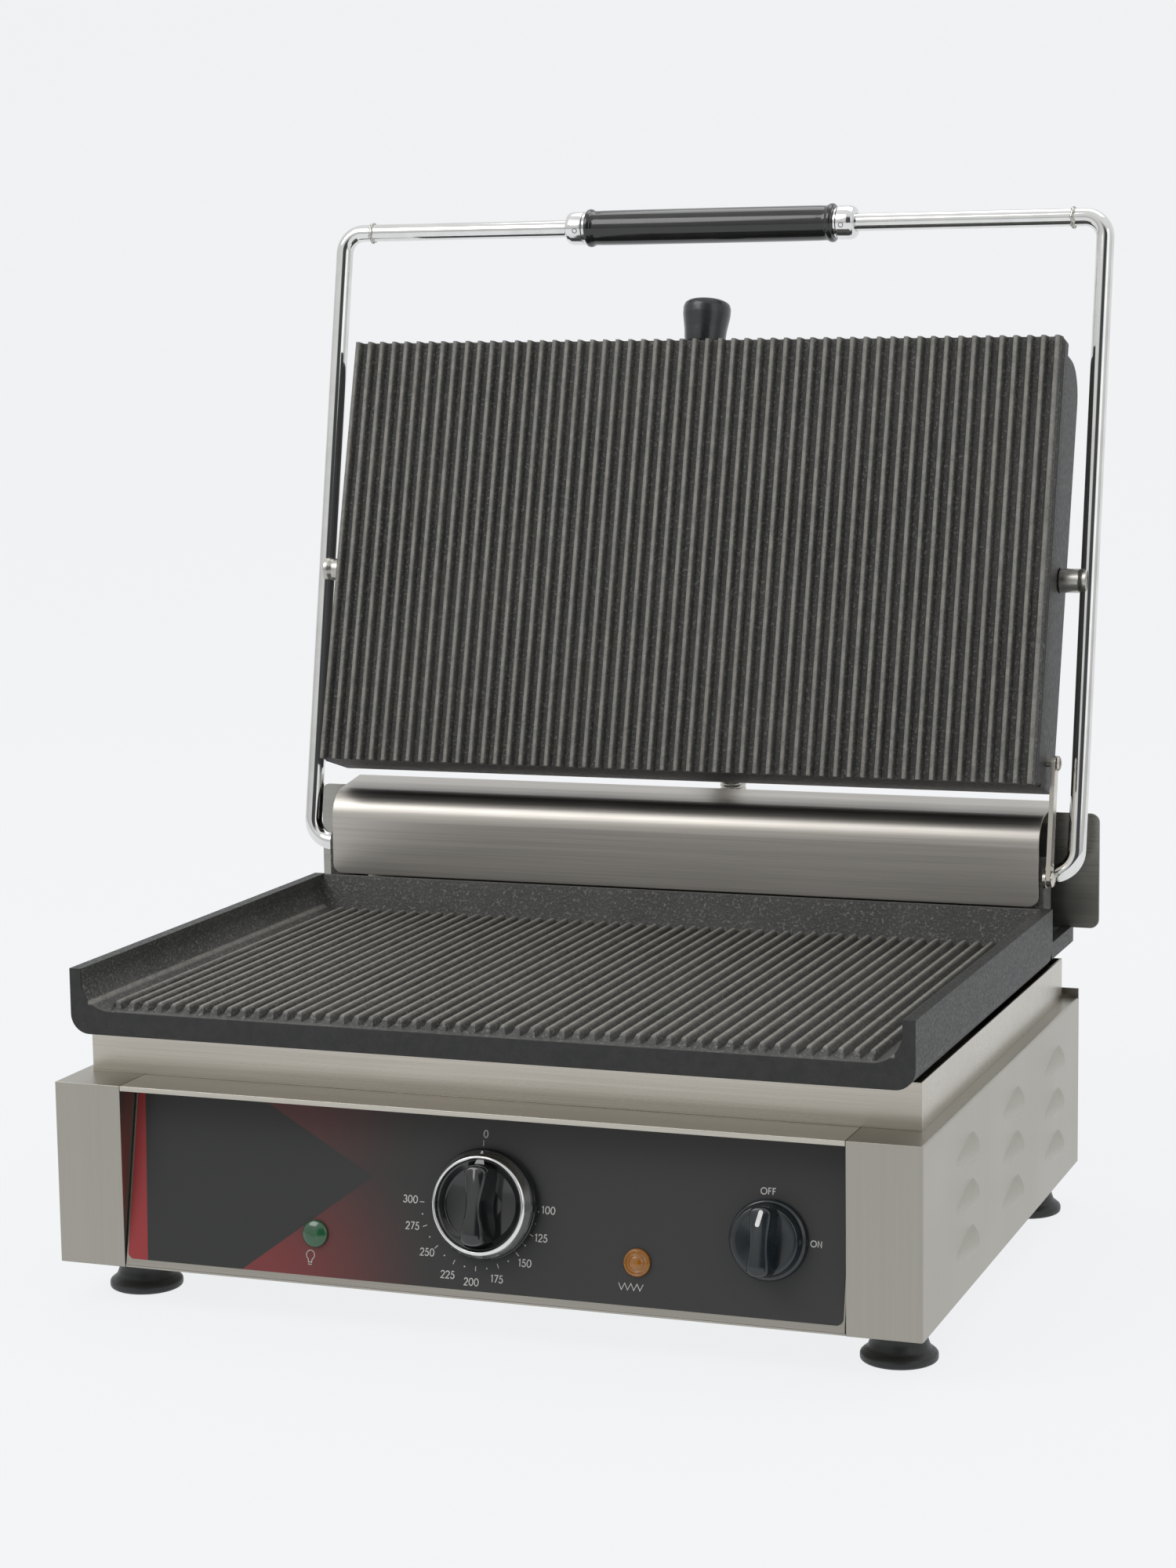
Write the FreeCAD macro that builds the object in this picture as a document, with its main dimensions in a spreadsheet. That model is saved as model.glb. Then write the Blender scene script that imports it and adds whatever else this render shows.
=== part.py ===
"""Commercial panini press (contact grill) with a ribbed cast lid on a bail arm.

Frame: X to the right, Y to the rear, Z up, millimetres.  The origin is on the
surface the feet stand on, under the middle of the case.  The lid is drawn open,
resting on its stop.  Pieces of the lid and of the arm are drawn in the frame
that they have when the grill is shut, and are then turned open about +X.
"""
import FreeCAD, Part
import Sketcher
import os
import re

V = FreeCAD.Vector
document = FreeCAD.newDocument("PaniniPress")

# ---------------------------------------------------------------- driving sizes
SIZES = {
    # feet
    "foot_height": 25, "foot_radius": 22.5, "foot_rim": 6, "foot_neck": 17.5,
    "foot_inset_x": 30, "foot_shift": 5, "foot_inset_y": 44, "foot_screw": 2.5, "foot_screw_head": 5.5,
    # sheet steel case
    "case_width": 540, "case_depth": 416, "case_height": 112, "case_shift": -27.2,
    "gauge": 1.2,
    "wing_width": 44, "seam_gap": 0.4, "bend_radius": 1.5, "rear_upstand": 6,
    "deck_lip": 3, "deck_opening_inset": 40,
    "louvre_length": 42, "louvre_height": 19, "louvre_rise": 4,
    "louvre_pitch_y": 118, "louvre_pitch_z": 28, "louvre_first_y": 97, "louvre_first_z": 27,
    # control panel
    "panel_tilt": 11.5, "panel_gauge": 1.5, "panel_side_gap": 0.8, "overlay_gauge": 0.5,
    "overlay_strip": 4, "overlay_side": 1.2, "overlay_corner": 4,
    "dial_x": 6.5, "dial_up": 55, "dial_flange": 32.7, "dial_height": 14,
    "dial_ring_outer": 31.5, "dial_ring_inner": 26.5, "dial_bar_width": 11, "dial_bar_rise": 8,
    "selector_x": 178.5, "selector_up": 48.5, "selector_radius": 20.5, "selector_height": 17,
    "selector_bar_width": 8, "shaft_radius": 3, "shaft_hole": 5, "knob_gap": 0.6,
    "lamp_x": 101, "lamp_up": 29, "lamp_radius": 8.2, "lamp_barrel": 5.5, "lamp_rise": 4,
    "lamp_depth": 24, "running_gap": 0.05,
    # skirt tier and lower casting
    "skirt_side": 9, "skirt_front": 33, "skirt_rear": 12, "skirt_height": 28,
    "grill_width": 526, "grill_front": 11, "rim_height": 40, "rim_wall": 7.5, "rim_rear": 365,
    "floor_thickness": 14.5, "rim_hollow": 18, "rim_round": 12, "rib_height": 5, "rib_pitch": 9.25,
    "rib_base": 6.4, "rib_top": 2.2, "lower_ribs": 52, "lip_depth": 7, "ribs_rear": 350,
    "rib_end_gap": 3, "plate_recess": 7,
    "bank_front": 12, "bank_top": 3, "bank_height": 39.5, "bank_back": 0.4,
    "flange_rear": 430, "flange_height": 18, "flange_thickness": 11, "post_inner": 236, "post_outer": 255,
    "post_radius": 11, "hinge_back": 385, "hinge_up": 59.6, "bush_wall": 3,
    # hood and back plate
    "hood_half": 252, "hood_front": 372, "hood_depth": 49, "hood_bottom": 39.3, "hood_top": 95,
    "hood_rise": 7.5,
    "hood_bend": 20, "hood_corner": 7, "hood_flange": 15, "back_half": 282, "back_top": 95,
    "back_corner": 6, "back_gauge": 1.5,
    # bail arm
    "bar_radius": 6, "arm_half": 273.8, "arm_reach": 434, "arm_lean": 11, "foot_bend": 16,
    "top_bend": 14, "journal_end": 205, "weld_inset": 22, "pivot_reach": 193,
    "stub_radius": 8, "pin_radius": 5, "lid_side_gap": 0.5,
    "grip_radius": 12, "grip_flare": 13, "grip_half": 89, "ferrule_length": 15,
    "ferrule_radius": 11.5, "grip_bore_gap": 0.1,
    # counterbalance springs
    "spring_wire": 1.3, "spring_gap": 1.2, "spring_turns": 7, "spring_pitch": 3.2,
    "spring_start": 210,
    # stay between arm and lid
    "stay_inner": 257.5, "stay_gauge": 3, "stay_width": 10, "stay_offset": 12,
    "stay_low": 4, "stay_high": 72, "stay_end": 6, "stay_hole_gap": 1.3, "lug_gauge": 2,
    "rivet_shank": 2.5, "rivet_head": 5, "rivet_head_height": 2,
    # lid
    "lid_width": 508, "lid_front": 156.6, "lid_rear": 139.4, "lid_lean": 15.4, "face_drop": 35,
    "lid_plate": 12, "lid_depth": 61, "lid_step": 6, "lid_round": 28, "lid_wall": 2.5,
    "lid_bevel": 0.8, "lid_bevel_rise": 2, "upper_ribs": 55, "boss_radius": 13, "boss_inner": 234,
    "knob_radius": 16.5, "knob_length": 26, "knob_standoff": 7, "knob_lift": 12,
    # heating elements
    "element_radius": 4, "element_half": 175, "element_pitch": 66, "element_gap": 0.3,
    "bulb_radius": 3, "bulb_length": 70, "pad_half": 214, "upper_pad": 16,
    # conduit to the lid
    "conduit_x": 9, "conduit_radius": 9.25, "conduit_bend": 42, "conduit_tail": 33,
    "conduit_entry": 106, "gland_radius": 13, "gland_length": 12,
    # cord gland
    "cord_gland_x": 180, "cord_gland_up": 40, "cord_bore": 4.5, "cord_gland_radius": 11,
    "cord_gland_length": 16,
    # fasteners
    "screw_radius": 2, "screw_head": 4, "screw_head_height": 2, "screw_play": 0.3,
    "lid_screw_x": 226, "lid_screw_low": 112, "lid_screw_high": 98, "standoff_radius": 6,
    "hood_screw_x": 225, "hood_screw_up": 92,
}

# Places that follow from the driving sizes, written once as expressions.
DERIVED = {
    "case_half": "case_width / 2",
    "front_y": "case_shift - case_depth / 2",
    "rear_y": "case_shift + case_depth / 2",
    "foot_reach_x": "case_half - foot_inset_x",
    "foot_reach_y": "case_depth / 2 - foot_inset_y",
    "deck_z": "foot_height + case_height",
    "wing_inner": "case_half - wing_width",
    "grill_z": "deck_z + skirt_height",
    "recess_z": "grill_z + plate_recess",
    "grill_front_y": "front_y + grill_front",
    "rim_rear_y": "front_y + rim_rear",
    "rib_tip_z": "grill_z + floor_thickness + rib_height",
    "hinge_y": "front_y + hinge_back",
    "hinge_z": "grill_z + hinge_up",
    "pivot_y": "hinge_y + pivot_reach * sin(arm_lean)",
    "pivot_z": "hinge_z + pivot_reach * cos(arm_lean)",
    "arm_turn": "-90 - arm_lean",
    "lid_turn": "-90 - lid_lean",
    "lid_half": "lid_width / 2",
    "panel_base_y": "front_y",
    "panel_base_z": "foot_height + gauge + panel_gauge * sin(panel_tilt)",
    "panel_length": "(deck_z - gauge - panel_base_z) / cos(panel_tilt)",
    "panel_half": "wing_inner - panel_side_gap",
    "hood_front_y": "front_y + hood_front",
    "back_front_y": "hood_front_y + hood_depth",
    "louvre_axis": "(louvre_height * louvre_height / 4 - louvre_rise * louvre_rise)"
                   " / (2 * louvre_rise)",
    "plate_top_local": "-face_drop + rib_height + lid_plate",
    "lid_back_local": "-face_drop + lid_depth",
    "entry_y": "pivot_y - conduit_entry * sin(lid_lean) + lid_back_local * cos(lid_lean)",
    "entry_z": "pivot_z - conduit_entry * cos(lid_lean) - lid_back_local * sin(lid_lean)",
    "loop_y": "entry_y + conduit_tail * cos(lid_lean) - conduit_bend * sin(lid_lean)",
    "loop_z": "entry_z - conduit_tail * sin(lid_lean) - conduit_bend * cos(lid_lean)",
    "conduit_low_z": "loop_z - conduit_bend",
    "back_rear_y": "back_front_y + back_gauge",
    "grill_half": "grill_width / 2",
    "boss_outer": "lid_half - lid_wall - 0.3",
}

sheet = document.addObject("Spreadsheet::Sheet", "Sizes")
for row, (alias, value) in enumerate(SIZES.items(), start=1):
    sheet.set(f"A{row}", alias)
    sheet.set(f"B{row}", str(value))
    sheet.setAlias(f"B{row}", alias)
document.recompute()


def linked(expression):
    """Turn size names into references to the spreadsheet."""
    def swap(match):
        word = match.group(0)
        if word in DERIVED:
            return "(" + linked(DERIVED[word]) + ")"
        return "Sizes." + word if word in SIZES else word
    return re.sub(r"[A-Za-z_][A-Za-z_0-9]*", swap, str(expression))


def value_of(expression):
    """The number that an expression of size names comes to now."""
    result = sheet.evalExpression(linked(expression))
    return float(getattr(result, "Value", result))


PIECES = []          # every exported sub-part, in the order made

ALONG = {"X": FreeCAD.Rotation(V(0, 1, 0), 90), "-X": FreeCAD.Rotation(V(0, 1, 0), -90),
         "Y": FreeCAD.Rotation(V(1, 0, 0), -90), "-Y": FreeCAD.Rotation(V(1, 0, 0), 90),
         "Z": FreeCAD.Rotation(), "-Z": FreeCAD.Rotation(V(1, 0, 0), 180)}


class Piece:
    """One sub-part: a PartDesign body whose features are bound to the sheet."""

    def __init__(self, label, group=False):
        self.body = document.addObject("PartDesign::Body", label)
        self.body.Label = label
        if hasattr(self.body, "AllowCompound"):
            self.body.AllowCompound = True
        self.count = 0
        PIECES.append(self.body)

    def _feature(self, kind, at, rotation=None, turn=None, **sizes):
        self.count += 1
        feature = self.body.newObject(kind, f"{self.body.Name}_{self.count}")
        feature.Placement = FreeCAD.Placement(V(), rotation or FreeCAD.Rotation())
        if turn:
            feature.Placement = FreeCAD.Placement(V(), FreeCAD.Rotation(V(1, 0, 0), 10))
            feature.setExpression("Placement.Rotation.Angle", linked(turn))
        for axis, place in zip("xyz", at):
            feature.setExpression(f"Placement.Base.{axis}", linked(place))
        for name, size in sizes.items():
            feature.setExpression(name, linked(size))
        return feature

    def box(self, size, at, cut=False):
        kind = "PartDesign::SubtractiveBox" if cut else "PartDesign::AdditiveBox"
        return self._feature(kind, at, Length=size[0], Width=size[1], Height=size[2])

    def slab(self, x, y, z, cut=False):
        """A box from its low and high places along each axis."""
        size = [f"({high}) - ({low})" for low, high in (x, y, z)]
        return self.box(size, [x[0], y[0], z[0]], cut)

    def rod(self, radius, length, at, along="Z", cut=False):
        kind = "PartDesign::SubtractiveCylinder" if cut else "PartDesign::AdditiveCylinder"
        return self._feature(kind, at, ALONG[along], Radius=radius, Height=length)

    def cone(self, radius_start, radius_end, length, at, along="Z", cut=False):
        kind = "PartDesign::SubtractiveCone" if cut else "PartDesign::AdditiveCone"
        return self._feature(kind, at, ALONG[along], Radius1=radius_start,
                             Radius2=radius_end, Height=length)

    def leaning_rod(self, radius, length, at, turn, cut=False):
        """A cylinder whose axis is Z turned about X by an expression."""
        kind = "PartDesign::SubtractiveCylinder" if cut else "PartDesign::AdditiveCylinder"
        return self._feature(kind, at, None, turn, Radius=radius, Height=length)

    def bend(self, bend_radius, bar_radius, at, rotation, sweep="90"):
        """Part of a torus: starts on its local +X side and turns towards +Y."""
        return self._feature("PartDesign::AdditiveTorus", at, rotation,
                             Radius1=bend_radius, Radius2=bar_radius, Angle3=sweep)

    def _sketch(self, plane, points):
        """A closed polygon of size expressions on one of the origin planes."""
        self.count += 1
        sketch = self.body.newObject("Sketcher::SketchObject", f"{self.body.Name}_s{self.count}")
        origin = [f for f in self.body.Origin.OriginFeatures if f.Role == plane + "_Plane"][0]
        sketch.AttachmentSupport = [(origin, "")]
        sketch.MapMode = "FlatFace"
        corners = [V(value_of(u), value_of(w), 0) for u, w in points]
        total = len(corners)
        for index, corner in enumerate(corners):
            sketch.addGeometry(Part.LineSegment(corner, corners[(index + 1) % total]), False)
        for index in range(total):
            sketch.addConstraint(Sketcher.Constraint("Coincident", index, 2,
                                                     (index + 1) % total, 1))
        for index, (u, w) in enumerate(points):
            bind_distance(sketch, "DistanceX", index, u)
            bind_distance(sketch, "DistanceY", index, w)
        return sketch

    def outline(self, plane, points, length, middle=True, cut=False):
        """Pad or pocket a polygon drawn on an origin plane."""
        kind = "PartDesign::Pocket" if cut else "PartDesign::Pad"
        sketch = self._sketch(plane, points)
        pad = self.body.newObject(kind, f"{self.body.Name}_{self.count}")
        pad.Profile = sketch
        pad.Midplane = middle
        pad.setExpression("Length", linked(length))
        return pad

    def spin(self, points, angle=360):
        """Revolve an outline of (radius, height) expressions about Z."""
        sketch = self._sketch("XZ", points)
        turn = self.body.newObject("PartDesign::Revolution", f"{self.body.Name}_{self.count}")
        turn.Profile = sketch
        turn.ReferenceAxis = (sketch, ["V_Axis"])
        turn.Angle = angle
        return turn

    def helix(self, radius, wire, pitch, height):
        """A round wire wound about Z."""
        self.count += 1
        sketch = self.body.newObject("Sketcher::SketchObject", f"{self.body.Name}_s{self.count}")
        origin = [f for f in self.body.Origin.OriginFeatures if f.Role == "XZ_Plane"][0]
        sketch.AttachmentSupport = [(origin, "")]
        sketch.MapMode = "FlatFace"
        sketch.addGeometry(Part.Circle(V(value_of(radius), 0, 0), V(0, 0, 1), value_of(wire)))
        sketch.addConstraint(Sketcher.Constraint("PointOnObject", 0, 3, -1))
        place = sketch.addConstraint(Sketcher.Constraint("DistanceX", -1, 1, 0, 3,
                                                         value_of(radius)))
        sketch.setExpression(f"Constraints[{place}]", linked(radius))
        place = sketch.addConstraint(Sketcher.Constraint("Radius", 0, value_of(wire)))
        sketch.setExpression(f"Constraints[{place}]", linked(wire))
        coil = self.body.newObject("PartDesign::AdditiveHelix", f"{self.body.Name}_{self.count}")
        coil.Profile = sketch
        coil.ReferenceAxis = (sketch, ["V_Axis"])
        coil.Mode = 0
        coil.setExpression("Pitch", linked(pitch))
        coil.setExpression("Height", linked(height))
        return coil

    def ribs(self, count, low, high, start, length):
        """Tapered ribs side by side along X, running back from `start` along Y."""
        left = f"-({count} - 1) * rib_pitch / 2"
        rib = self.outline("XZ", [(f"{left} - rib_base / 2", low), (f"{left} + rib_base / 2", low),
                                  (f"{left} + rib_top / 2", high), (f"{left} - rib_top / 2", high)],
                           length, middle=False)
        rib.Profile[0].AttachmentOffset = FreeCAD.Placement()
        rib.Profile[0].setExpression("AttachmentOffset.Base.z", linked(f"-({start}) - ({length})"))
        pattern = self.body.newObject("PartDesign::LinearPattern", f"{self.body.Name}_ribs")
        pattern.Originals = [rib]
        pattern.Direction = (rib.Profile[0], ["H_Axis"])
        pattern.setExpression("Length", linked(f"rib_pitch * ({count} - 1)"))
        pattern.setExpression("Occurrences", linked(count))
        self.body.Tip = pattern
        return pattern

    def round_edges(self, radius, wanted):
        """Fillet the edges whose middle point and direction pass the test."""
        document.recompute()
        base = self.body.Tip
        names = []
        for index, edge in enumerate(base.Shape.Edges, start=1):
            first, last = edge.firstVertex().Point, edge.lastVertex().Point
            if edge.Curve.TypeId == "Part::GeomLine" and wanted((first + last) * 0.5, last - first):
                names.append(f"Edge{index}")
        if not names:
            raise RuntimeError(f"{self.body.Label}: no edge to round")
        self.count += 1
        fillet = self.body.newObject("PartDesign::Fillet", f"{self.body.Name}_{self.count}")
        fillet.Base = (base, names)
        fillet.setExpression("Radius", linked(radius))
        return fillet

    def place(self, at, turn="0", axis=V(1, 0, 0)):
        """Put the finished piece into the press."""
        self.body.Placement = FreeCAD.Placement(V(), FreeCAD.Rotation(axis, 10))
        for name, place in zip("xyz", at):
            self.body.setExpression(f"Placement.Base.{name}", linked(place))
        self.body.setExpression("Placement.Rotation.Angle", linked(turn))
        return self

    def on_arm(self):
        return self.place(["0", "hinge_y", "hinge_z"], "arm_turn")

    def on_lid(self):
        return self.place(["0", "pivot_y", "pivot_z"], "lid_turn")

    def on_panel(self, across, up, out="0"):
        """Local Z points out of the sloped control panel, local Y up along it."""
        return self.place([across,
                           f"panel_base_y + ({up}) * sin(panel_tilt) - ({out}) * cos(panel_tilt)",
                           f"panel_base_z + ({up}) * cos(panel_tilt) + ({out}) * sin(panel_tilt)"],
                          "90 - panel_tilt")


def bind_distance(sketch, kind, index, expression):
    """Fix one coordinate of a line's start point from the origin."""
    if str(expression) == "0":
        axis = -2 if kind == "DistanceX" else -1
        sketch.addConstraint(Sketcher.Constraint("PointOnObject", index, 1, axis))
        return
    place = sketch.addConstraint(
        Sketcher.Constraint(kind, -1, 1, index, 1, value_of(expression)))
    sketch.setExpression(f"Constraints[{place}]", linked(expression))


def side(sign, near, far):
    """Low and high X of something between two distances from the middle plane."""
    return (near, far) if sign > 0 else (f"-({far})", f"-({near})")


def at_x(sign, distance):
    return distance if sign > 0 else f"-({distance})"


def outward(sign):
    return "X" if sign > 0 else "-X"


SIDES = (("left", -1), ("right", 1))

# ------------------------------------------------------------------- the feet
for side_name, sign in SIDES:
    for end_name, end in (("front", -1), ("rear", 1)):
        foot = Piece(f"foot_{end_name}_{side_name}")
        foot.spin([("foot_screw + screw_play", "0"), ("foot_radius - 1", "0"), ("foot_radius", "1"),
                   ("foot_radius", "foot_rim - 1"), ("foot_radius - 1", "foot_rim"),
                   ("foot_neck + 1", "foot_rim + 2"), ("foot_neck", "foot_height"),
                   ("foot_screw + screw_play", "foot_height")])
        foot.rod("foot_screw_head + 0.5", "foot_rim + 4", ["0", "0", "0"], cut=True)
        foot.place([at_x(sign, "foot_reach_x") + " + foot_shift",
                    f"case_shift + {end} * (foot_reach_y)", "0"])

screws = Piece("foot_screws")
for side_name, sign in SIDES:
    for end in (-1, 1):
        spot = [at_x(sign, "foot_reach_x") + " + foot_shift", f"case_shift + {end} * (foot_reach_y)"]
        screws.rod("foot_screw_head", "4", spot + ["foot_rim"])
        screws.rod("foot_screw", "foot_height + gauge + 6 - foot_rim", spot + ["foot_rim"])

# ------------------------------------------------------------------- the case
for side_name, sign in SIDES:
    panel = Piece(f"case_panel_{side_name}")
    panel.slab(side(sign, "wing_inner", "case_half"), ("front_y", "rear_y - gauge"),
               ("foot_height", "deck_z"))
    for column in range(3):
        for level in range(3):
            panel.cone("louvre_axis", "louvre_axis + louvre_rise", "louvre_length",
                       [at_x(sign, "case_half - louvre_axis"),
                        f"front_y + louvre_first_y + {column} * louvre_pitch_y"
                        " - louvre_length / 2",
                        f"foot_height + louvre_first_z + {level} * louvre_pitch_z"], "Y")
    panel.slab(side(sign, "wing_inner - 60", "case_half - gauge"),
               ("front_y + gauge", "rear_y - gauge"),
               ("foot_height + gauge", "deck_z - gauge"), cut=True)
    for column in range(3):
        for level in range(3):
            panel.cone("louvre_axis - gauge", "louvre_axis + louvre_rise - gauge",
                       "louvre_length",
                       [at_x(sign, "case_half - louvre_axis"),
                        f"front_y + louvre_first_y + {column} * louvre_pitch_y"
                        " - louvre_length / 2",
                        f"foot_height + louvre_first_z + {level} * louvre_pitch_z"], "Y",
                       cut=True)
    panel.slab(side(sign, "wing_inner", "wing_inner + gauge"),
               ("front_y", "front_y + skirt_front"), ("foot_height", "deck_z"))
    for end in (-1, 1):
        panel.rod("foot_screw + screw_play", "gauge", [at_x(sign, "foot_reach_x") + " + foot_shift",
                  f"case_shift + {end} * (foot_reach_y)", "foot_height"], cut=True)
    edge_x = sign * value_of("case_half")
    front = value_of("front_y")
    top = value_of("deck_z")
    panel.round_edges("bend_radius", lambda middle, run: abs(middle.x - edge_x) < 0.01
                      and (abs(middle.y - front) < 0.01 or abs(middle.z - top) < 0.01))

rear = Piece("rear_panel")
rear.slab(("-case_half", "case_half"), ("rear_y - gauge", "rear_y"),
          ("foot_height", "deck_z + rear_upstand"))
for row in range(3):
    for column in range(10):
        rear.slab((f"{column} * 34 - 173", f"{column} * 34 - 149"),
                  ("rear_y - gauge", "rear_y"),
                  (f"foot_height + 70 + {row} * 10", f"foot_height + 74 + {row} * 10"), cut=True)
rear.rod("cord_gland_radius - 2", "gauge", ["cord_gland_x", "rear_y - gauge",
         "foot_height + cord_gland_up"], "Y", cut=True)

cover = Piece("bottom_cover")
cover.slab(("-(wing_inner - seam_gap)", "wing_inner - seam_gap"),
           ("front_y + 0.5", "rear_y - gauge - seam_gap"), ("foot_height", "foot_height + gauge"))
for row in range(4):
    for column in range(5):
        cover.slab((f"{column} * 70 - 160", f"{column} * 70 - 120"),
                   (f"case_shift + {row} * 60 - 93", f"case_shift + {row} * 60 - 87"),
                   ("foot_height", "foot_height + gauge"), cut=True)

deck = Piece("deck")
deck.slab(("-(wing_inner - seam_gap)", "wing_inner - seam_gap"),
          ("front_y", "rear_y - gauge - seam_gap"), ("deck_z - gauge", "deck_z"))
deck.slab(("-(wing_inner - seam_gap)", "wing_inner - seam_gap"),
          ("front_y", "front_y + gauge"), ("deck_z - deck_lip", "deck_z"))
deck.slab(("-(wing_inner - deck_opening_inset)", "wing_inner - deck_opening_inset"),
          ("front_y + skirt_front + deck_opening_inset", "rear_y - 2 * deck_opening_inset"),
          ("deck_z - gauge", "deck_z"), cut=True)

# ---------------------------------------------------------- the control panel
HOLES = (("dial_x", "dial_up", "shaft_hole"), ("selector_x", "selector_up", "shaft_hole"),
         ("-lamp_x", "lamp_up", "lamp_barrel + 0.3"), ("lamp_x", "lamp_up", "lamp_barrel + 0.3"))

plate = Piece("control_panel")
plate.slab(("-panel_half", "panel_half"), ("0", "panel_length"), ("-panel_gauge", "0"))
for across, up, radius in HOLES:
    plate.rod(radius, "panel_gauge", [across, up, "-panel_gauge"], cut=True)
plate.on_panel("0", "0")

overlay = Piece("control_overlay")
overlay.slab(("-(panel_half - overlay_side)", "panel_half - overlay_side"),
             ("overlay_strip", "panel_length - 1"), ("0", "overlay_gauge"))
for across, up, radius in HOLES:
    overlay.rod(radius, "overlay_gauge", [across, up, "0"], cut=True)
overlay.round_edges("overlay_corner", lambda middle, run: abs(run.z) > 0.1 * run.Length
                    and abs(abs(middle.x) - value_of("panel_half - overlay_side")) < 0.01
                    and middle.y < value_of("overlay_strip + 1"))
overlay.on_panel("0", "0")

dial = Piece("thermostat_knob")
dial.spin([("0", "0"), ("dial_flange", "0"), ("dial_flange", "dial_height - 8.5"),
           ("dial_ring_outer", "dial_height - 7"), ("dial_ring_inner", "dial_height - 7"),
           ("dial_ring_inner", "dial_height - 2"), ("dial_ring_inner - 1.5", "dial_height - 3"),
           ("0", "dial_height - 3")])
dial.slab(("-dial_bar_width / 2", "dial_bar_width / 2"),
          ("-(dial_ring_inner - 3)", "dial_ring_inner - 3"),
          ("dial_height - 4", "dial_height + dial_bar_rise"))
dial.rod("shaft_radius", "30", ["0", "0", "0"], "-Z")
dial.round_edges("2.5", lambda middle, run: abs(middle.z - value_of(
    "dial_height + dial_bar_rise")) < 0.01)
dial.on_panel("dial_x", "dial_up", "overlay_gauge + knob_gap")

ring = Piece("thermostat_knob_ring")
ring.spin([("dial_ring_inner", "dial_height - 6.9"), ("dial_ring_outer", "dial_height - 6.9"),
           ("dial_ring_outer - 0.4", "dial_height - 5.2"),
           ("dial_ring_inner + 1.6", "dial_height"), ("dial_ring_inner", "dial_height - 0.8")])
ring.on_panel("dial_x", "dial_up", "overlay_gauge + knob_gap")

selector = Piece("switch_knob")
selector.spin([("0", "0"), ("selector_radius + 3", "0"), ("selector_radius + 3", "2"),
               ("selector_radius", "4"), ("selector_radius - 0.5", "selector_height - 1"),
               ("selector_radius - 1.5", "selector_height"), ("0", "selector_height")])
selector.slab(("-selector_bar_width / 2", "selector_bar_width / 2"),
              ("-(selector_radius - 2)", "selector_radius - 2"),
              ("selector_height - 1", "selector_height + 4"))
selector.rod("shaft_radius", "30", ["0", "0", "0"], "-Z")
selector.on_panel("selector_x", "selector_up", "overlay_gauge + knob_gap")

for lamp_name, across in (("green_lamp", "-lamp_x"), ("amber_lamp", "lamp_x")):
    lamp = Piece(lamp_name)
    lamp.spin([("0", "-lamp_depth"), ("lamp_barrel", "-lamp_depth"), ("lamp_barrel", "0"),
               ("lamp_radius", "0"), ("lamp_radius", "1.4"), ("lamp_radius - 1", "2.4"),
               ("lamp_radius - 3.5", "lamp_rise - 0.4"), ("0", "lamp_rise")])
    lamp.on_panel(across, "lamp_up", "overlay_gauge")

for part_name, across, up, half, deep in (
        ("thermostat_body", "dial_x", "dial_up", 22, 26),
        ("switch_body", "selector_x", "selector_up", 20, 38)):
    unit = Piece(part_name)
    unit.slab((f"-{half}", f"{half}"), (f"-{half}", f"{half}"),
              (f"-panel_gauge - {deep}", "-panel_gauge"))
    unit.rod("shaft_radius + running_gap", f"{deep}", ["0", "0", f"-panel_gauge - {deep}"],
             cut=True)
    unit.round_edges("3", lambda middle, run: abs(run.z) > 0.9 * run.Length)
    unit.on_panel(across, up)

terminals = Piece("terminal_block")
terminals.slab(("cord_gland_x - 35", "cord_gland_x + 35"), ("rear_y - 70", "rear_y - 48"),
               ("foot_height + gauge", "foot_height + gauge + 20"))
for column in range(5):
    terminals.rod("2.5", "9", [f"cord_gland_x - 26 + {column} * 13", "rear_y - 59",
                  "foot_height + gauge + 11"], cut=True)

gland = Piece("cord_gland")
gland.rod("cord_gland_radius", "cord_gland_length", ["cord_gland_x", "rear_y",
          "foot_height + cord_gland_up"], "Y")
gland.rod("cord_gland_radius - 2.2", "gauge + 8", ["cord_gland_x", "rear_y - gauge - 8",
          "foot_height + cord_gland_up"], "Y")
gland.rod("cord_bore", "cord_gland_length + gauge + 8", ["cord_gland_x",
          "rear_y - gauge - 8", "foot_height + cord_gland_up"], "Y", cut=True)

# --------------------------------------------------------- skirt and casting
skirt = Piece("skirt_frame")
skirt.slab(("-(case_half - skirt_side)", "case_half - skirt_side"),
           ("front_y + skirt_front", "rear_y - skirt_rear"), ("deck_z", "grill_z"))
skirt.slab(("-(case_half - skirt_side - gauge)", "case_half - skirt_side - gauge"),
           ("front_y + skirt_front + gauge", "rear_y - skirt_rear - gauge"),
           ("deck_z", "grill_z"), cut=True)

lower = Piece("lower_plate")
lower.outline("XZ", [("-grill_half", "0"), ("grill_half", "0"), ("grill_half", "rim_height"),
                     ("grill_half - rim_wall", "rim_height"),
                     ("grill_half - rim_wall", "floor_thickness"),
                     ("-(grill_half - rim_wall)", "floor_thickness"),
                     ("-(grill_half - rim_wall)", "rim_height"),
                     ("-grill_half", "rim_height")],
              "rim_rear - grill_front", middle=False)
inner_x = value_of("grill_half - rim_wall")
outer_x = value_of("grill_half")
floor_z = value_of("floor_thickness")
lower.round_edges("rim_hollow", lambda middle, run: abs(abs(middle.x) - inner_x) < 0.01
                  and abs(middle.z - floor_z) < 0.01 and abs(run.y) > 1)
lower.round_edges("rim_round", lambda middle, run: abs(abs(middle.x) - outer_x) < 0.01
                  and abs(middle.z) < 0.01 and abs(run.y) > 1)
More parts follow.
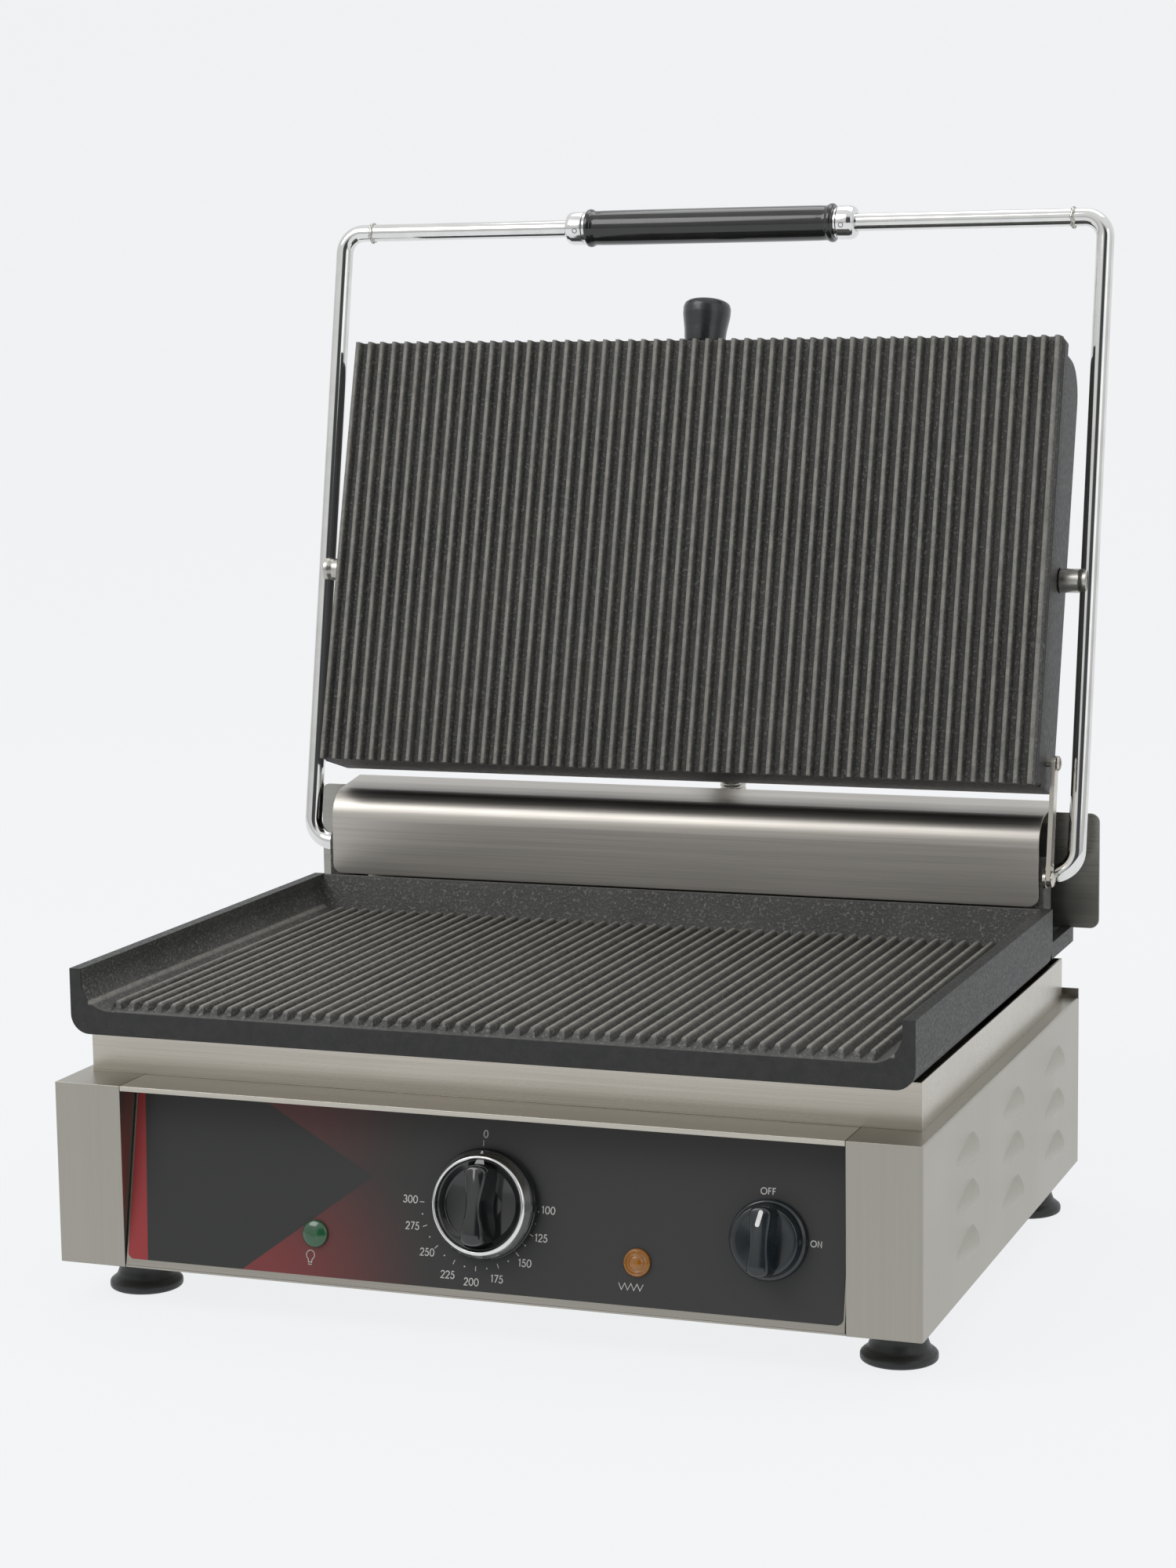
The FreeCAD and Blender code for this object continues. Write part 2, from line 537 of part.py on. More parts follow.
# sloping bank at the rear of the tray, ledge behind it and the two hinge posts
lower.outline("YZ", [("-bank_front", "floor_thickness - 1"), ("bank_back", "floor_thickness - 1"),
                     ("bank_back", "bank_height"), ("-bank_top", "bank_height"),
                     ("-bank_front", "floor_thickness")], "2 * (grill_half - rim_wall / 2)")
lower.slab(("-(grill_half - rim_round)", "grill_half - rim_round"),
           ("-1", "case_depth - skirt_rear - rim_rear"), ("0", "flange_height"))
lower.slab(("-grill_half", "grill_half"), ("-1", "flange_rear - rim_rear"),
           ("flange_height - flange_thickness", "flange_height"))
for side_name, sign in SIDES:
    lower.slab(side(sign, "post_inner", "post_outer"),
               ("hinge_back - rim_rear - post_radius", "hinge_back - rim_rear + post_radius"),
               ("flange_height - 1", "hinge_up"))
    post = [at_x(sign, "post_inner"), "hinge_back - rim_rear", "hinge_up"]
    lower.rod("post_radius", "post_outer - post_inner", post, outward(sign))
    lower.rod("bar_radius + bush_wall", "post_outer - post_inner", post, outward(sign), cut=True)
lower.ribs("lower_ribs", "floor_thickness - 0.5", "floor_thickness + rib_height",
           "grill_front + lip_depth - rim_rear", "ribs_rear - grill_front - lip_depth")
rib_front = "(grill_front + lip_depth - rim_rear)"
lower.outline("YZ", [(f"{rib_front} - 1", "floor_thickness"), (rib_front, "floor_thickness"),
                     (f"{rib_front} + rib_height", "floor_thickness + rib_height + 0.5"),
                     (f"{rib_front} - 1", "floor_thickness + rib_height + 0.5")],
              "2 * (grill_half - rim_wall - rim_hollow)", cut=True)
# recess under the floor for the element and its pad
lower.slab(("-(pad_half + 4)", "pad_half + 4"),
           ("skirt_front + 14 - rim_rear", "-bank_front - 6"), ("0", "plate_recess"), cut=True)
lower.place(["0", "rim_rear_y", "grill_z"])

for side_name, sign in SIDES:
    bush = Piece(f"hinge_bush_{side_name}")
    bush.rod("bar_radius + bush_wall", "post_outer - post_inner",
             [at_x(sign, "post_inner"), "hinge_y", "hinge_z"], outward(sign))
    bush.rod("bar_radius + running_gap", "post_outer - post_inner",
             [at_x(sign, "post_inner"), "hinge_y", "hinge_z"], outward(sign), cut=True)

# ------------------------------------------------------------ heating elements


def element(label, height, first_y):
    """A tubular element bent into four runs along X."""
    item = Piece(label)
    for run in range(4):
        item.rod("element_radius", "2 * element_half",
                 ["-element_half", f"{first_y} + {run} * element_pitch", height], "X")
    for turn in range(3):
        sign = 1 if turn % 2 == 0 else -1
        rotation = FreeCAD.Rotation(V(0, 0, 1), -90 if sign > 0 else 90)
        item.bend("element_pitch / 2", "element_radius",
                  [at_x(sign, "element_half"), f"{first_y} + {turn} * element_pitch"
                   " + element_pitch / 2", height], rotation, "180")
    for end, run in ((-1, 0), (-1, 3)):
        item.rod("element_radius * 0.6", "22",
                 [at_x(end, "element_half"), f"{first_y} + {run} * element_pitch", height],
                 outward(end))
    return item


element("lower_element", "recess_z - element_gap - element_radius",
        "front_y + skirt_front + 60")
shield = Piece("heat_shield")
shield.slab(("-(pad_half + 6)", "pad_half + 6"),
            ("front_y + skirt_front + 14", "rear_y - skirt_rear - 40"),
            ("deck_z", "deck_z + gauge"))
pad = Piece("insulation_pad")
pad.slab(("-pad_half", "pad_half"),
         ("front_y + skirt_front + 17", "rim_rear_y - bank_front - 10"),
         ("deck_z + gauge", "recess_z - 2 * element_radius - element_gap"))

bulb = Piece("thermostat_bulb")
bulb_y = "front_y + skirt_front + 60 + element_pitch / 2"
bulb.rod("bulb_radius", "bulb_length",
         ["dial_x - bulb_length / 2", bulb_y, "recess_z - bulb_radius - element_gap"], "X")
bulb.rod("1", "30", ["dial_x + bulb_length / 2", bulb_y, "recess_z - bulb_radius - element_gap"],
         "X")

# ------------------------------------------------------------------- the hood
hood = Piece("rear_hood")
roof = "hood_top + hood_rise"
hood.outline("YZ", [("0", "hood_bottom"), ("0", "hood_top"), ("hood_depth", roof),
                    ("hood_depth", f"{roof} - hood_flange"),
                    ("hood_depth - gauge", f"{roof} - hood_flange"),
                    ("hood_depth - gauge", f"{roof} - gauge - hood_rise * gauge / hood_depth"),
                    ("gauge", "hood_top - gauge + hood_rise * gauge / hood_depth"),
                    ("gauge", "hood_bottom")], "2 * hood_half")
crest = value_of("hood_top")
hood.round_edges("hood_bend", lambda middle, run: abs(run.x) > 10 and abs(middle.y) < 0.01
                 and abs(middle.z - crest) < 0.01)
hood.round_edges("hood_bend - gauge", lambda middle, run: abs(run.x) > 10
                 and abs(middle.y - value_of("gauge")) < 0.01
                 and abs(middle.z - crest) < 5)
hood.round_edges("hood_corner", lambda middle, run: abs(run.y) > 0.5
                 and abs(middle.z - value_of("hood_bottom")) < 0.01 and abs(middle.x) > 10
                 and middle.y < 5)
for across in ("-hood_screw_x", "-hood_screw_x / 3", "hood_screw_x / 3", "hood_screw_x"):
    hood.rod("screw_radius + screw_play", "gauge", [across, "hood_depth - gauge",
             "hood_screw_up"], "Y", cut=True)
hood.place(["0", "hood_front_y", "grill_z"])

backing = Piece("back_plate")
backing.slab(("-back_half", "back_half"), ("back_front_y", "back_rear_y"),
             ("grill_z + flange_height", "grill_z + back_top"))
backing.round_edges("back_corner", lambda middle, run: abs(run.y) > 0.5
                    and abs(run.x) < 0.01 and abs(run.z) < 0.01 and abs(middle.x) > 200)
backing.rod("conduit_radius - 2", "back_gauge", ["conduit_x", "back_front_y",
            "conduit_low_z"], "Y", cut=True)
fixing = Piece("hood_screws")
for across in ("-hood_screw_x", "-hood_screw_x / 3", "hood_screw_x / 3", "hood_screw_x"):
    hole = [across, "back_front_y", "grill_z + hood_screw_up"]
    backing.rod("screw_radius + screw_play", "back_gauge", hole, "Y", cut=True)
    fixing.rod("screw_radius", "gauge + back_gauge + 6",
               [across, "back_front_y - gauge - 6", "grill_z + hood_screw_up"], "Y")
    fixing.rod("screw_head", "screw_head_height",
               [across, "back_rear_y", "grill_z + hood_screw_up"], "Y")

# ------------------------------------------------------- conduit to the lid
rear_gland = Piece("conduit_gland_rear")
rear_gland.rod("gland_radius", "gland_length", ["conduit_x", "back_rear_y", "conduit_low_z"], "Y")
rear_gland.rod("conduit_radius - 2.3", "back_gauge + 6",
               ["conduit_x", "back_rear_y - back_gauge - 6", "conduit_low_z"], "Y")
rear_gland.rod("conduit_radius - 4", "back_gauge + 6 + gland_length",
               ["conduit_x", "back_rear_y - back_gauge - 6", "conduit_low_z"], "Y", cut=True)

conduit = Piece("conduit")
conduit.rod("conduit_radius", "loop_y - back_rear_y - gland_length",
            ["conduit_x", "back_rear_y + gland_length", "conduit_low_z"], "Y")
conduit.bend("conduit_bend", "conduit_radius", ["conduit_x", "loop_y", "loop_z"],
             FreeCAD.Rotation(V(0, 1, 0), 90), "180 - lid_lean")
conduit.leaning_rod("conduit_radius", "conduit_tail - gland_length",
                    ["conduit_x", "entry_y + gland_length * cos(lid_lean)",
                     "entry_z - gland_length * sin(lid_lean)"], "lid_turn")

lid_gland = Piece("conduit_gland_lid")
lid_gland.rod("gland_radius", "gland_length", ["conduit_x", "conduit_entry", "lid_back_local"])
lid_gland.rod("conduit_radius - 2.3", "lid_wall + 3",
              ["conduit_x", "conduit_entry", "lid_back_local - lid_wall - 3"])
lid_gland.rod("conduit_radius - 4", "lid_wall + 3 + gland_length",
              ["conduit_x", "conduit_entry", "lid_back_local - lid_wall - 3"], cut=True)
lid_gland.on_lid()

# ---------------------------------------------------------------- the bail arm
for side_name, sign in SIDES:
    arm = Piece(f"arm_{side_name}")
    foot_x = "arm_half - foot_bend"
    arm.rod("bar_radius", f"({foot_x}) - journal_end", [at_x(sign, "journal_end"), "0", "0"],
            outward(sign))
    arm.rod("bar_radius + 2.5", "3", [at_x(sign, "journal_end"), "0", "0"], outward(sign))
    # the foot bend turns from outward along X to forward along -Y
    arm.bend("foot_bend", "bar_radius", [at_x(sign, foot_x), "-foot_bend", "0"],
             FreeCAD.Rotation(V(0, 0, 1), 0 if sign > 0 else 90))
    arm.rod("bar_radius", "arm_reach - foot_bend - top_bend",
            [at_x(sign, "arm_half"), "-foot_bend", "0"], "-Y")
    arm.bend("top_bend", "bar_radius", [at_x(sign, "arm_half - top_bend"),
             "-(arm_reach - top_bend)", "0"],
             FreeCAD.Rotation(V(0, 0, 1), -90 if sign > 0 else 180))
    arm.rod("bar_radius", "weld_inset - top_bend",
            [at_x(sign, "arm_half - weld_inset"), "-arm_reach", "0"], outward(sign))
    arm.on_arm()

    stub = Piece(f"lid_pivot_{side_name}")
    stub.rod("stub_radius", "arm_half - lid_half - lid_side_gap",
             [at_x(sign, "lid_half + lid_side_gap"), "-pivot_reach", "0"], outward(sign))
    stub.rod("pin_radius", "lid_half + lid_side_gap - boss_inner",
             [at_x(sign, "boss_inner"), "-pivot_reach", "0"], outward(sign))
    stub.rod("bar_radius", "60", [at_x(sign, "arm_half"), "-pivot_reach - 30", "0"], "Y",
             cut=True)
    stub.on_arm()

for side_name, sign in SIDES:
    spring = Piece(f"lift_spring_{side_name}")
    spring.helix("bar_radius + spring_gap + spring_wire", "spring_wire", "spring_pitch",
                 "spring_turns * spring_pitch")
    spring.place([at_x(sign, "spring_start") if sign > 0 else
                  "-(spring_start + spring_turns * spring_pitch)", "hinge_y", "hinge_z"],
                 "90", V(0, 1, 0))

bar = Piece("crossbar")
bar.rod("bar_radius", "2 * (arm_half - weld_inset)",
        ["-(arm_half - weld_inset)", "-arm_reach", "0"], "X")
bar.on_arm()

handle = Piece("handle_grip")
handle.spin([("bar_radius + grip_bore_gap", "-grip_half"), ("grip_flare", "-grip_half"),
             ("grip_flare", "-grip_half + 4"), ("grip_radius", "-grip_half + 16"),
             ("grip_radius", "grip_half - 16"), ("grip_flare", "grip_half - 4"),
             ("grip_flare", "grip_half"), ("bar_radius + grip_bore_gap", "grip_half")])
handle.place(["0", "hinge_y + arm_reach * sin(arm_lean)",
              "hinge_z + arm_reach * cos(arm_lean)"], "90", V(0, 1, 0))

for side_name, sign in SIDES:
    ferrule = Piece(f"grip_ferrule_{side_name}")
    ferrule.rod("ferrule_radius", "ferrule_length",
                [at_x(sign, "grip_half"), "-arm_reach", "0"], outward(sign))
    ferrule.rod("bar_radius + grip_bore_gap", "ferrule_length",
                [at_x(sign, "grip_half"), "-arm_reach", "0"], outward(sign), cut=True)
    ferrule.rod("2.2", "ferrule_radius", [at_x(sign, "grip_half + ferrule_length / 2"),
                "-arm_reach", "0"], "-Z", cut=True)
    ferrule.on_arm()

# ------------------------------------------------------ stay from arm to lid
lug = Piece("stay_lug")
lug.rod("bar_radius + 3", "lug_gauge", ["stay_inner - lug_gauge", "0", "0"], "X")
lug.rod("stay_end", "lug_gauge", ["stay_inner - lug_gauge", "stay_low", "-stay_offset"], "X")
lug.rod("bar_radius", "lug_gauge", ["stay_inner - lug_gauge", "0", "0"], "X", cut=True)
lug.rod("rivet_shank", "lug_gauge", ["stay_inner - lug_gauge", "stay_low", "-stay_offset"],
        "X", cut=True)
lug.on_arm()

rivet = Piece("stay_rivet")
rivet.rod("rivet_shank", "stay_gauge + lug_gauge + 0.2",
          ["stay_inner - lug_gauge", "stay_low", "-stay_offset"], "X")
rivet.rod("rivet_head", "rivet_head_height",
          ["stay_inner + stay_gauge + 0.2", "stay_low", "-stay_offset"], "X")
rivet.on_arm()

stay = Piece("stay_bar")
stay.slab(("stay_inner", "stay_inner + stay_gauge"), ("-stay_high", "stay_low"),
          ("-stay_offset - stay_width / 2", "-stay_offset + stay_width / 2"))
for along in ("stay_low", "-stay_high"):
    stay.rod("stay_width / 2", "stay_gauge", ["stay_inner", along, "-stay_offset"], "X")
stay.rod("rivet_shank + running_gap", "stay_gauge", ["stay_inner", "stay_low",
         "-stay_offset"], "X", cut=True)
stay.rod("rivet_shank + stay_hole_gap", "stay_gauge", ["stay_inner", "-stay_high",
         "-stay_offset"], "X", cut=True)
stay.on_arm()

stud = Piece("lid_stay_stud")
stud.rod("rivet_shank", "stay_inner + stay_gauge + 0.6 - lid_half",
         ["lid_half", "-stay_high", "-stay_offset"], "X")
stud.rod("rivet_head", "rivet_head_height",
         ["stay_inner + stay_gauge + 0.6", "-stay_high", "-stay_offset"], "X")
stud.on_arm()

# --------------------------------------------------------------------- the lid
upper = Piece("upper_plate")
face = "(rib_height - face_drop)"
upper.outline("XZ", [("-(lid_half - lid_bevel)", face), ("lid_half - lid_bevel", face),
                     ("lid_half", f"{face} + lid_bevel_rise"), ("lid_half", "plate_top_local"),
                     ("-lid_half", "plate_top_local"),
                     ("-lid_half", f"{face} + lid_bevel_rise")],
              "lid_front + lid_rear", middle=False).Profile[0].setExpression(
    "AttachmentOffset.Base.z", linked("-lid_rear"))
upper.round_edges("3", lambda middle, run: abs(run.z) > 0.9 * run.Length)
upper.ribs("upper_ribs", f"{face} + 0.5", "-face_drop", "-lid_front", "lid_front + lid_rear")
for side_name, sign in SIDES:
    pin_seat = [at_x(sign, "boss_inner"), "0", "0"]
    upper.slab(side(sign, "boss_inner", "boss_outer"),
               ("-boss_radius", "boss_radius"), ("plate_top_local - 1", "0"))
    upper.rod("boss_radius", "boss_outer - boss_inner", pin_seat, outward(sign))
    upper.rod("pin_radius + running_gap", "boss_outer - boss_inner", pin_seat, outward(sign),
              cut=True)
    for along in ("-lid_screw_high", "lid_screw_low"):
        stand = [at_x(sign, "lid_screw_x"), along, "plate_top_local - 1"]
        upper.rod("standoff_radius", "lid_depth - lid_wall - rib_height - lid_plate + 1", stand)
        upper.rod("screw_radius", "14", [stand[0], along, "lid_back_local - lid_wall - 14"],
                  cut=True)
upper.on_lid()

shell = Piece("lid_cover")
shell.slab(("-lid_half", "lid_half"), ("-(lid_front - lid_step)", "lid_rear"),
           ("plate_top_local", "lid_back_local"))
back_z = value_of("lid_back_local")
front_y = value_of("-(lid_front - lid_step)")
shell.round_edges("lid_round", lambda middle, run: abs(middle.z - back_z) < 0.01
                  and abs(middle.y - front_y) < 0.01)
shell.round_edges("6", lambda middle, run: abs(middle.z - back_z) < 0.01
                  and (abs(run.y) > 50 or middle.y > 100))
shell.slab(("-(lid_half - lid_wall)", "lid_half - lid_wall"),
           ("-(lid_front - lid_step - lid_wall - 8)", "lid_rear - lid_wall"),
           ("plate_top_local", "lid_back_local - lid_wall - 6"), cut=True)
shell.slab(("-(lid_half - lid_wall - 8)", "lid_half - lid_wall - 8"),
           ("-(lid_front - lid_step - lid_round)", "lid_rear - lid_wall - 8"),
           ("plate_top_local", "lid_back_local - lid_wall"), cut=True)
for side_name, sign in SIDES:
    shell.rod("stub_radius + 0.3", "lid_wall + 1", [at_x(sign, "lid_half - lid_wall - 1"),
              "0", "0"], outward(sign), cut=True)
shell.rod("conduit_radius - 2", "lid_wall + 1", ["conduit_x", "conduit_entry",
          "lid_back_local - lid_wall - 1"], cut=True)
shell.rod("4.2", "lid_wall + 10", ["0", "-(lid_front - lid_step)", "-knob_lift"], "Y", cut=True)
lid_screws = Piece("lid_screws")
for side_name, sign in SIDES:
    for along in ("-lid_screw_high", "lid_screw_low"):
        spot = [at_x(sign, "lid_screw_x"), along]
        shell.rod("screw_radius + screw_play", "lid_wall + 1",
                  spot + ["lid_back_local - lid_wall - 1"], cut=True)
        lid_screws.rod("screw_radius", "lid_wall + 12", spot + ["lid_back_local - lid_wall - 12"])
        lid_screws.rod("screw_head", "screw_head_height", spot + ["lid_back_local"])
shell.on_lid()
lid_screws.on_lid()

heater = element("upper_element", "plate_top_local + element_gap + element_radius",
                 "-lid_front + 50")
heater.on_lid()

upper_pad = Piece("upper_insulation")
upper_pad.slab(("-pad_half", "pad_half"), ("-lid_front + 34", "lid_rear - 10"),
               ("plate_top_local + element_gap + 2 * element_radius",
                "plate_top_local + element_gap + 2 * element_radius + upper_pad"))
upper_pad.on_lid()

button = Piece("lid_knob")
button.spin([("0", "0"), ("knob_radius - 2", "0"), ("knob_radius - 1", "1"),
             ("knob_radius", "knob_length - 8"), ("knob_radius - 1.5", "knob_length - 3.5"),
             ("knob_radius - 6", "knob_length - 0.8"), ("0", "knob_length")])
button.rod("4", "knob_standoff + lid_step + lid_wall + 10", ["0", "0", "0"], "-Z")
reach = "(lid_front + knob_standoff)"
button.place(["0", f"pivot_y + {reach} * sin(lid_lean) - knob_lift * cos(lid_lean)",
              f"pivot_z + {reach} * cos(lid_lean) + knob_lift * sin(lid_lean)"], "-lid_lean")

document.recompute()
bad = [o.Name for o in document.Objects if "Invalid" in o.State or "Error" in o.State]
if bad:
    raise RuntimeError("failed objects: " + ", ".join(bad))
for piece in PIECES:
    if piece.Shape.isNull() or not piece.Shape.isValid():
        raise RuntimeError("bad shape: " + piece.Label)

os.makedirs("parts", exist_ok=True)
for piece in PIECES:
    piece.Shape.exportStep(f"parts/{piece.Label}.step")
    box = piece.Shape.BoundBox
    print(f"{piece.Label}: {len(piece.Shape.Solids)} solids, {piece.Shape.Volume:.0f} mm3, "
          f"x {box.XMin:.1f} {box.XMax:.1f} y {box.YMin:.1f} {box.YMax:.1f} "
          f"z {box.ZMin:.1f} {box.ZMax:.1f}")
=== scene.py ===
"""Looks of a commercial panini press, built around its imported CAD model."""

import math

import bpy
from mathutils import Matrix, Vector


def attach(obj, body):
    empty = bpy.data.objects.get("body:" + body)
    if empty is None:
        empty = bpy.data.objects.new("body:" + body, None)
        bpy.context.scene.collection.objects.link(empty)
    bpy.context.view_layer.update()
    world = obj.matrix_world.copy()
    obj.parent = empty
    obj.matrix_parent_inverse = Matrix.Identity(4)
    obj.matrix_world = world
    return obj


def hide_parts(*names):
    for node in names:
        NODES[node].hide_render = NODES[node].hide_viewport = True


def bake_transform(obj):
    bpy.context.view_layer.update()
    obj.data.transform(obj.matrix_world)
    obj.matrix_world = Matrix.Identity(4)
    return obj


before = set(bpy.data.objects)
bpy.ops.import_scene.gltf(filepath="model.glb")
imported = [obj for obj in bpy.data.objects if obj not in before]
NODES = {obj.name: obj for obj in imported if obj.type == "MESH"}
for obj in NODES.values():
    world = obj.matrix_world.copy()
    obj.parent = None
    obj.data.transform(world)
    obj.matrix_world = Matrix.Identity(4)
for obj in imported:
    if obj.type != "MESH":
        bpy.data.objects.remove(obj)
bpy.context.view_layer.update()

MM = 0.001


def sin_d(angle):
    return math.sin(math.radians(angle))


def cos_d(angle):
    return math.cos(math.radians(angle))


# ------------------------------------------------------------ places on the press
PANEL_TILT = 11.5
FRONT_Y = -235.2
PANEL_Z = 26.5
ARM_LEAN = 11.0
LID_LEAN = 15.4
HINGE = Vector((0.0, 149.8, 224.6))
ARM_REACH = 434.0
ARM_HALF = 273.8
BAR_RADIUS = 6.0
JOURNAL_END = 205.0
FOOT_BEND = 16.0
TOP_BEND = 14.0
WELD_INSET = 22.0
PIVOT_REACH = 193.0
PIVOT = HINGE + Vector((0, PIVOT_REACH * sin_d(ARM_LEAN), PIVOT_REACH * cos_d(ARM_LEAN)))
LID_BACK = 26.0
BACK_REAR_Y = 187.3
GLAND_LENGTH = 12.0
CONDUIT_X = 9.0
CONDUIT_ENTRY = 106.0
CONDUIT_TAIL = 33.0
CONDUIT_BEND = 42.0


def turned(origin, degrees):
    """A frame at a place in millimetres, turned about X."""
    return (Matrix.Translation(Vector(origin) * MM)
            @ Matrix.Rotation(math.radians(degrees), 4, "X")
            @ Matrix.Diagonal((MM, MM, MM, 1)))


def on_panel(across, up, out=0.0):
    """Local X along the panel, Y up its slope, Z out of it."""
    place = (across, FRONT_Y + up * sin_d(PANEL_TILT) - out * cos_d(PANEL_TILT),
             PANEL_Z + up * cos_d(PANEL_TILT) + out * sin_d(PANEL_TILT))
    return turned(place, 90 - PANEL_TILT)


ARM_FRAME = turned(HINGE, -90 - ARM_LEAN)
LID_FRAME = turned(PIVOT, -90 - LID_LEAN)
WORLD_FRAME = Matrix.Diagonal((MM, MM, MM, 1))


# --------------------------------------------------------------------- meshes
def make_mesh(name, points, faces, matrix, material, body, replaces=(), smooth=True):
    mesh = bpy.data.meshes.new(name)
    mesh.from_pydata([matrix @ Vector(p) for p in points], [], faces)
    mesh.validate()
    mesh.update()
    piece = bpy.data.objects.new(name, mesh)
    bpy.context.scene.collection.objects.link(piece)
    mesh.materials.append(material)
    for polygon in mesh.polygons:
        polygon.use_smooth = smooth
    if smooth:
        mesh.set_sharp_from_angle(angle=math.radians(38))
    if body:
        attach(piece, body)
    if replaces:
        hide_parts(*replaces)
    return piece


def lathe_data(profile, steps=64):
    """Points and faces of (radius, height) turned about Z; ends on the axis close."""
    points, faces, rings = [], [], []
    for radius, height in profile:
        if radius < 1e-6:
            rings.append([len(points)])
            points.append((0, 0, height))
        else:
            start = len(points)
            for step in range(steps):
                angle = 2 * math.pi * step / steps
                points.append((radius * math.cos(angle), radius * math.sin(angle), height))
            rings.append(list(range(start, start + steps)))
    for lower, upper in zip(rings, rings[1:]):
        for step in range(steps):
            following = (step + 1) % steps
            if len(lower) == 1 and len(upper) == 1:
                continue
            if len(lower) == 1:
                faces.append((lower[0], upper[following], upper[step]))
            elif len(upper) == 1:
                faces.append((lower[step], lower[following], upper[0]))
            else:
                faces.append((lower[step], lower[following], upper[following], upper[step]))
    return points, faces


def rounded(profile, radius, steps=5):
    """Round the inner corners of a (radius, height) profile."""
    result = [profile[0]]
    for before, corner, after in zip(profile, profile[1:], profile[2:]):
        here = Vector(corner)
        towards_before = Vector(before) - here
        towards_after = Vector(after) - here
        reach = min(radius, towards_before.length * 0.45, towards_after.length * 0.45)
        start = here + towards_before.normalized() * reach
        end = here + towards_after.normalized() * reach
        for step in range(steps + 1):
            t = step / steps
            point = start * (1 - t) ** 2 + here * 2 * t * (1 - t) + end * t * t
            result.append((point.x, point.y))
    result.append(profile[-1])
    return result


def lathe(name, profile, matrix, material, body, replaces=(), steps=64):
    points, faces = lathe_data(profile, steps)
    return make_mesh(name, points, faces, matrix, material, body, replaces)


def tube_data(path, radii, steps=24):
    """A capped tube through the points of a path, with one radius per point."""
    points, faces = [], []
    path = [Vector(p) for p in path]
    tangent = (path[1] - path[0]).normalized()
    normal = tangent.orthogonal().normalized()
    for index, place in enumerate(path):
        ahead = path[min(index + 1, len(path) - 1)]
        behind = path[max(index - 1, 0)]
        direction = (ahead - behind).normalized()
        normal = (normal - direction * normal.dot(direction)).normalized()
        other = direction.cross(normal)
        for step in range(steps):
            angle = 2 * math.pi * step / steps
            offset = normal * math.cos(angle) + other * math.sin(angle)
            points.append(place + offset * radii[index])
    for index in range(len(path) - 1):
        for step in range(steps):
            following = (step + 1) % steps
            a = index * steps
            faces.append((a + step, a + following, a + steps + following, a + steps + step))
    faces.append(tuple(range(steps - 1, -1, -1)))
    last = (len(path) - 1) * steps
    faces.append(tuple(range(last, last + steps)))
    return points, faces


def tube(name, path, radius, matrix, material, body, replaces=(), steps=24):
    radii = radius if isinstance(radius, list) else [radius] * len(path)
    points, faces = tube_data(path, radii, steps)
    return make_mesh(name, points, faces, matrix, material, body, replaces)


def merge_data(groups):
    """Join several (points, faces) into one."""
    points, faces = [], []
    for some_points, some_faces in groups:
        shift = len(points)
        points.extend(some_points)
        faces.extend(tuple(i + shift for i in face) for face in some_faces)
    return points, faces


def stack_data(outlines):
    """Close a stack of equal-length outlines given as lists of 3-D points."""
    count = len(outlines[0])
    points = [p for outline in outlines for p in outline]
    faces = []
    for level in range(len(outlines) - 1):
        for step in range(count):
            following = (step + 1) % count
            a, b = level * count, (level + 1) * count
            faces.append((a + step, a + following, b + following, b + step))
    faces.append(tuple(range(count - 1, -1, -1)))
    last = (len(outlines) - 1) * count
    faces.append(tuple(range(last, last + count)))
    return points, faces


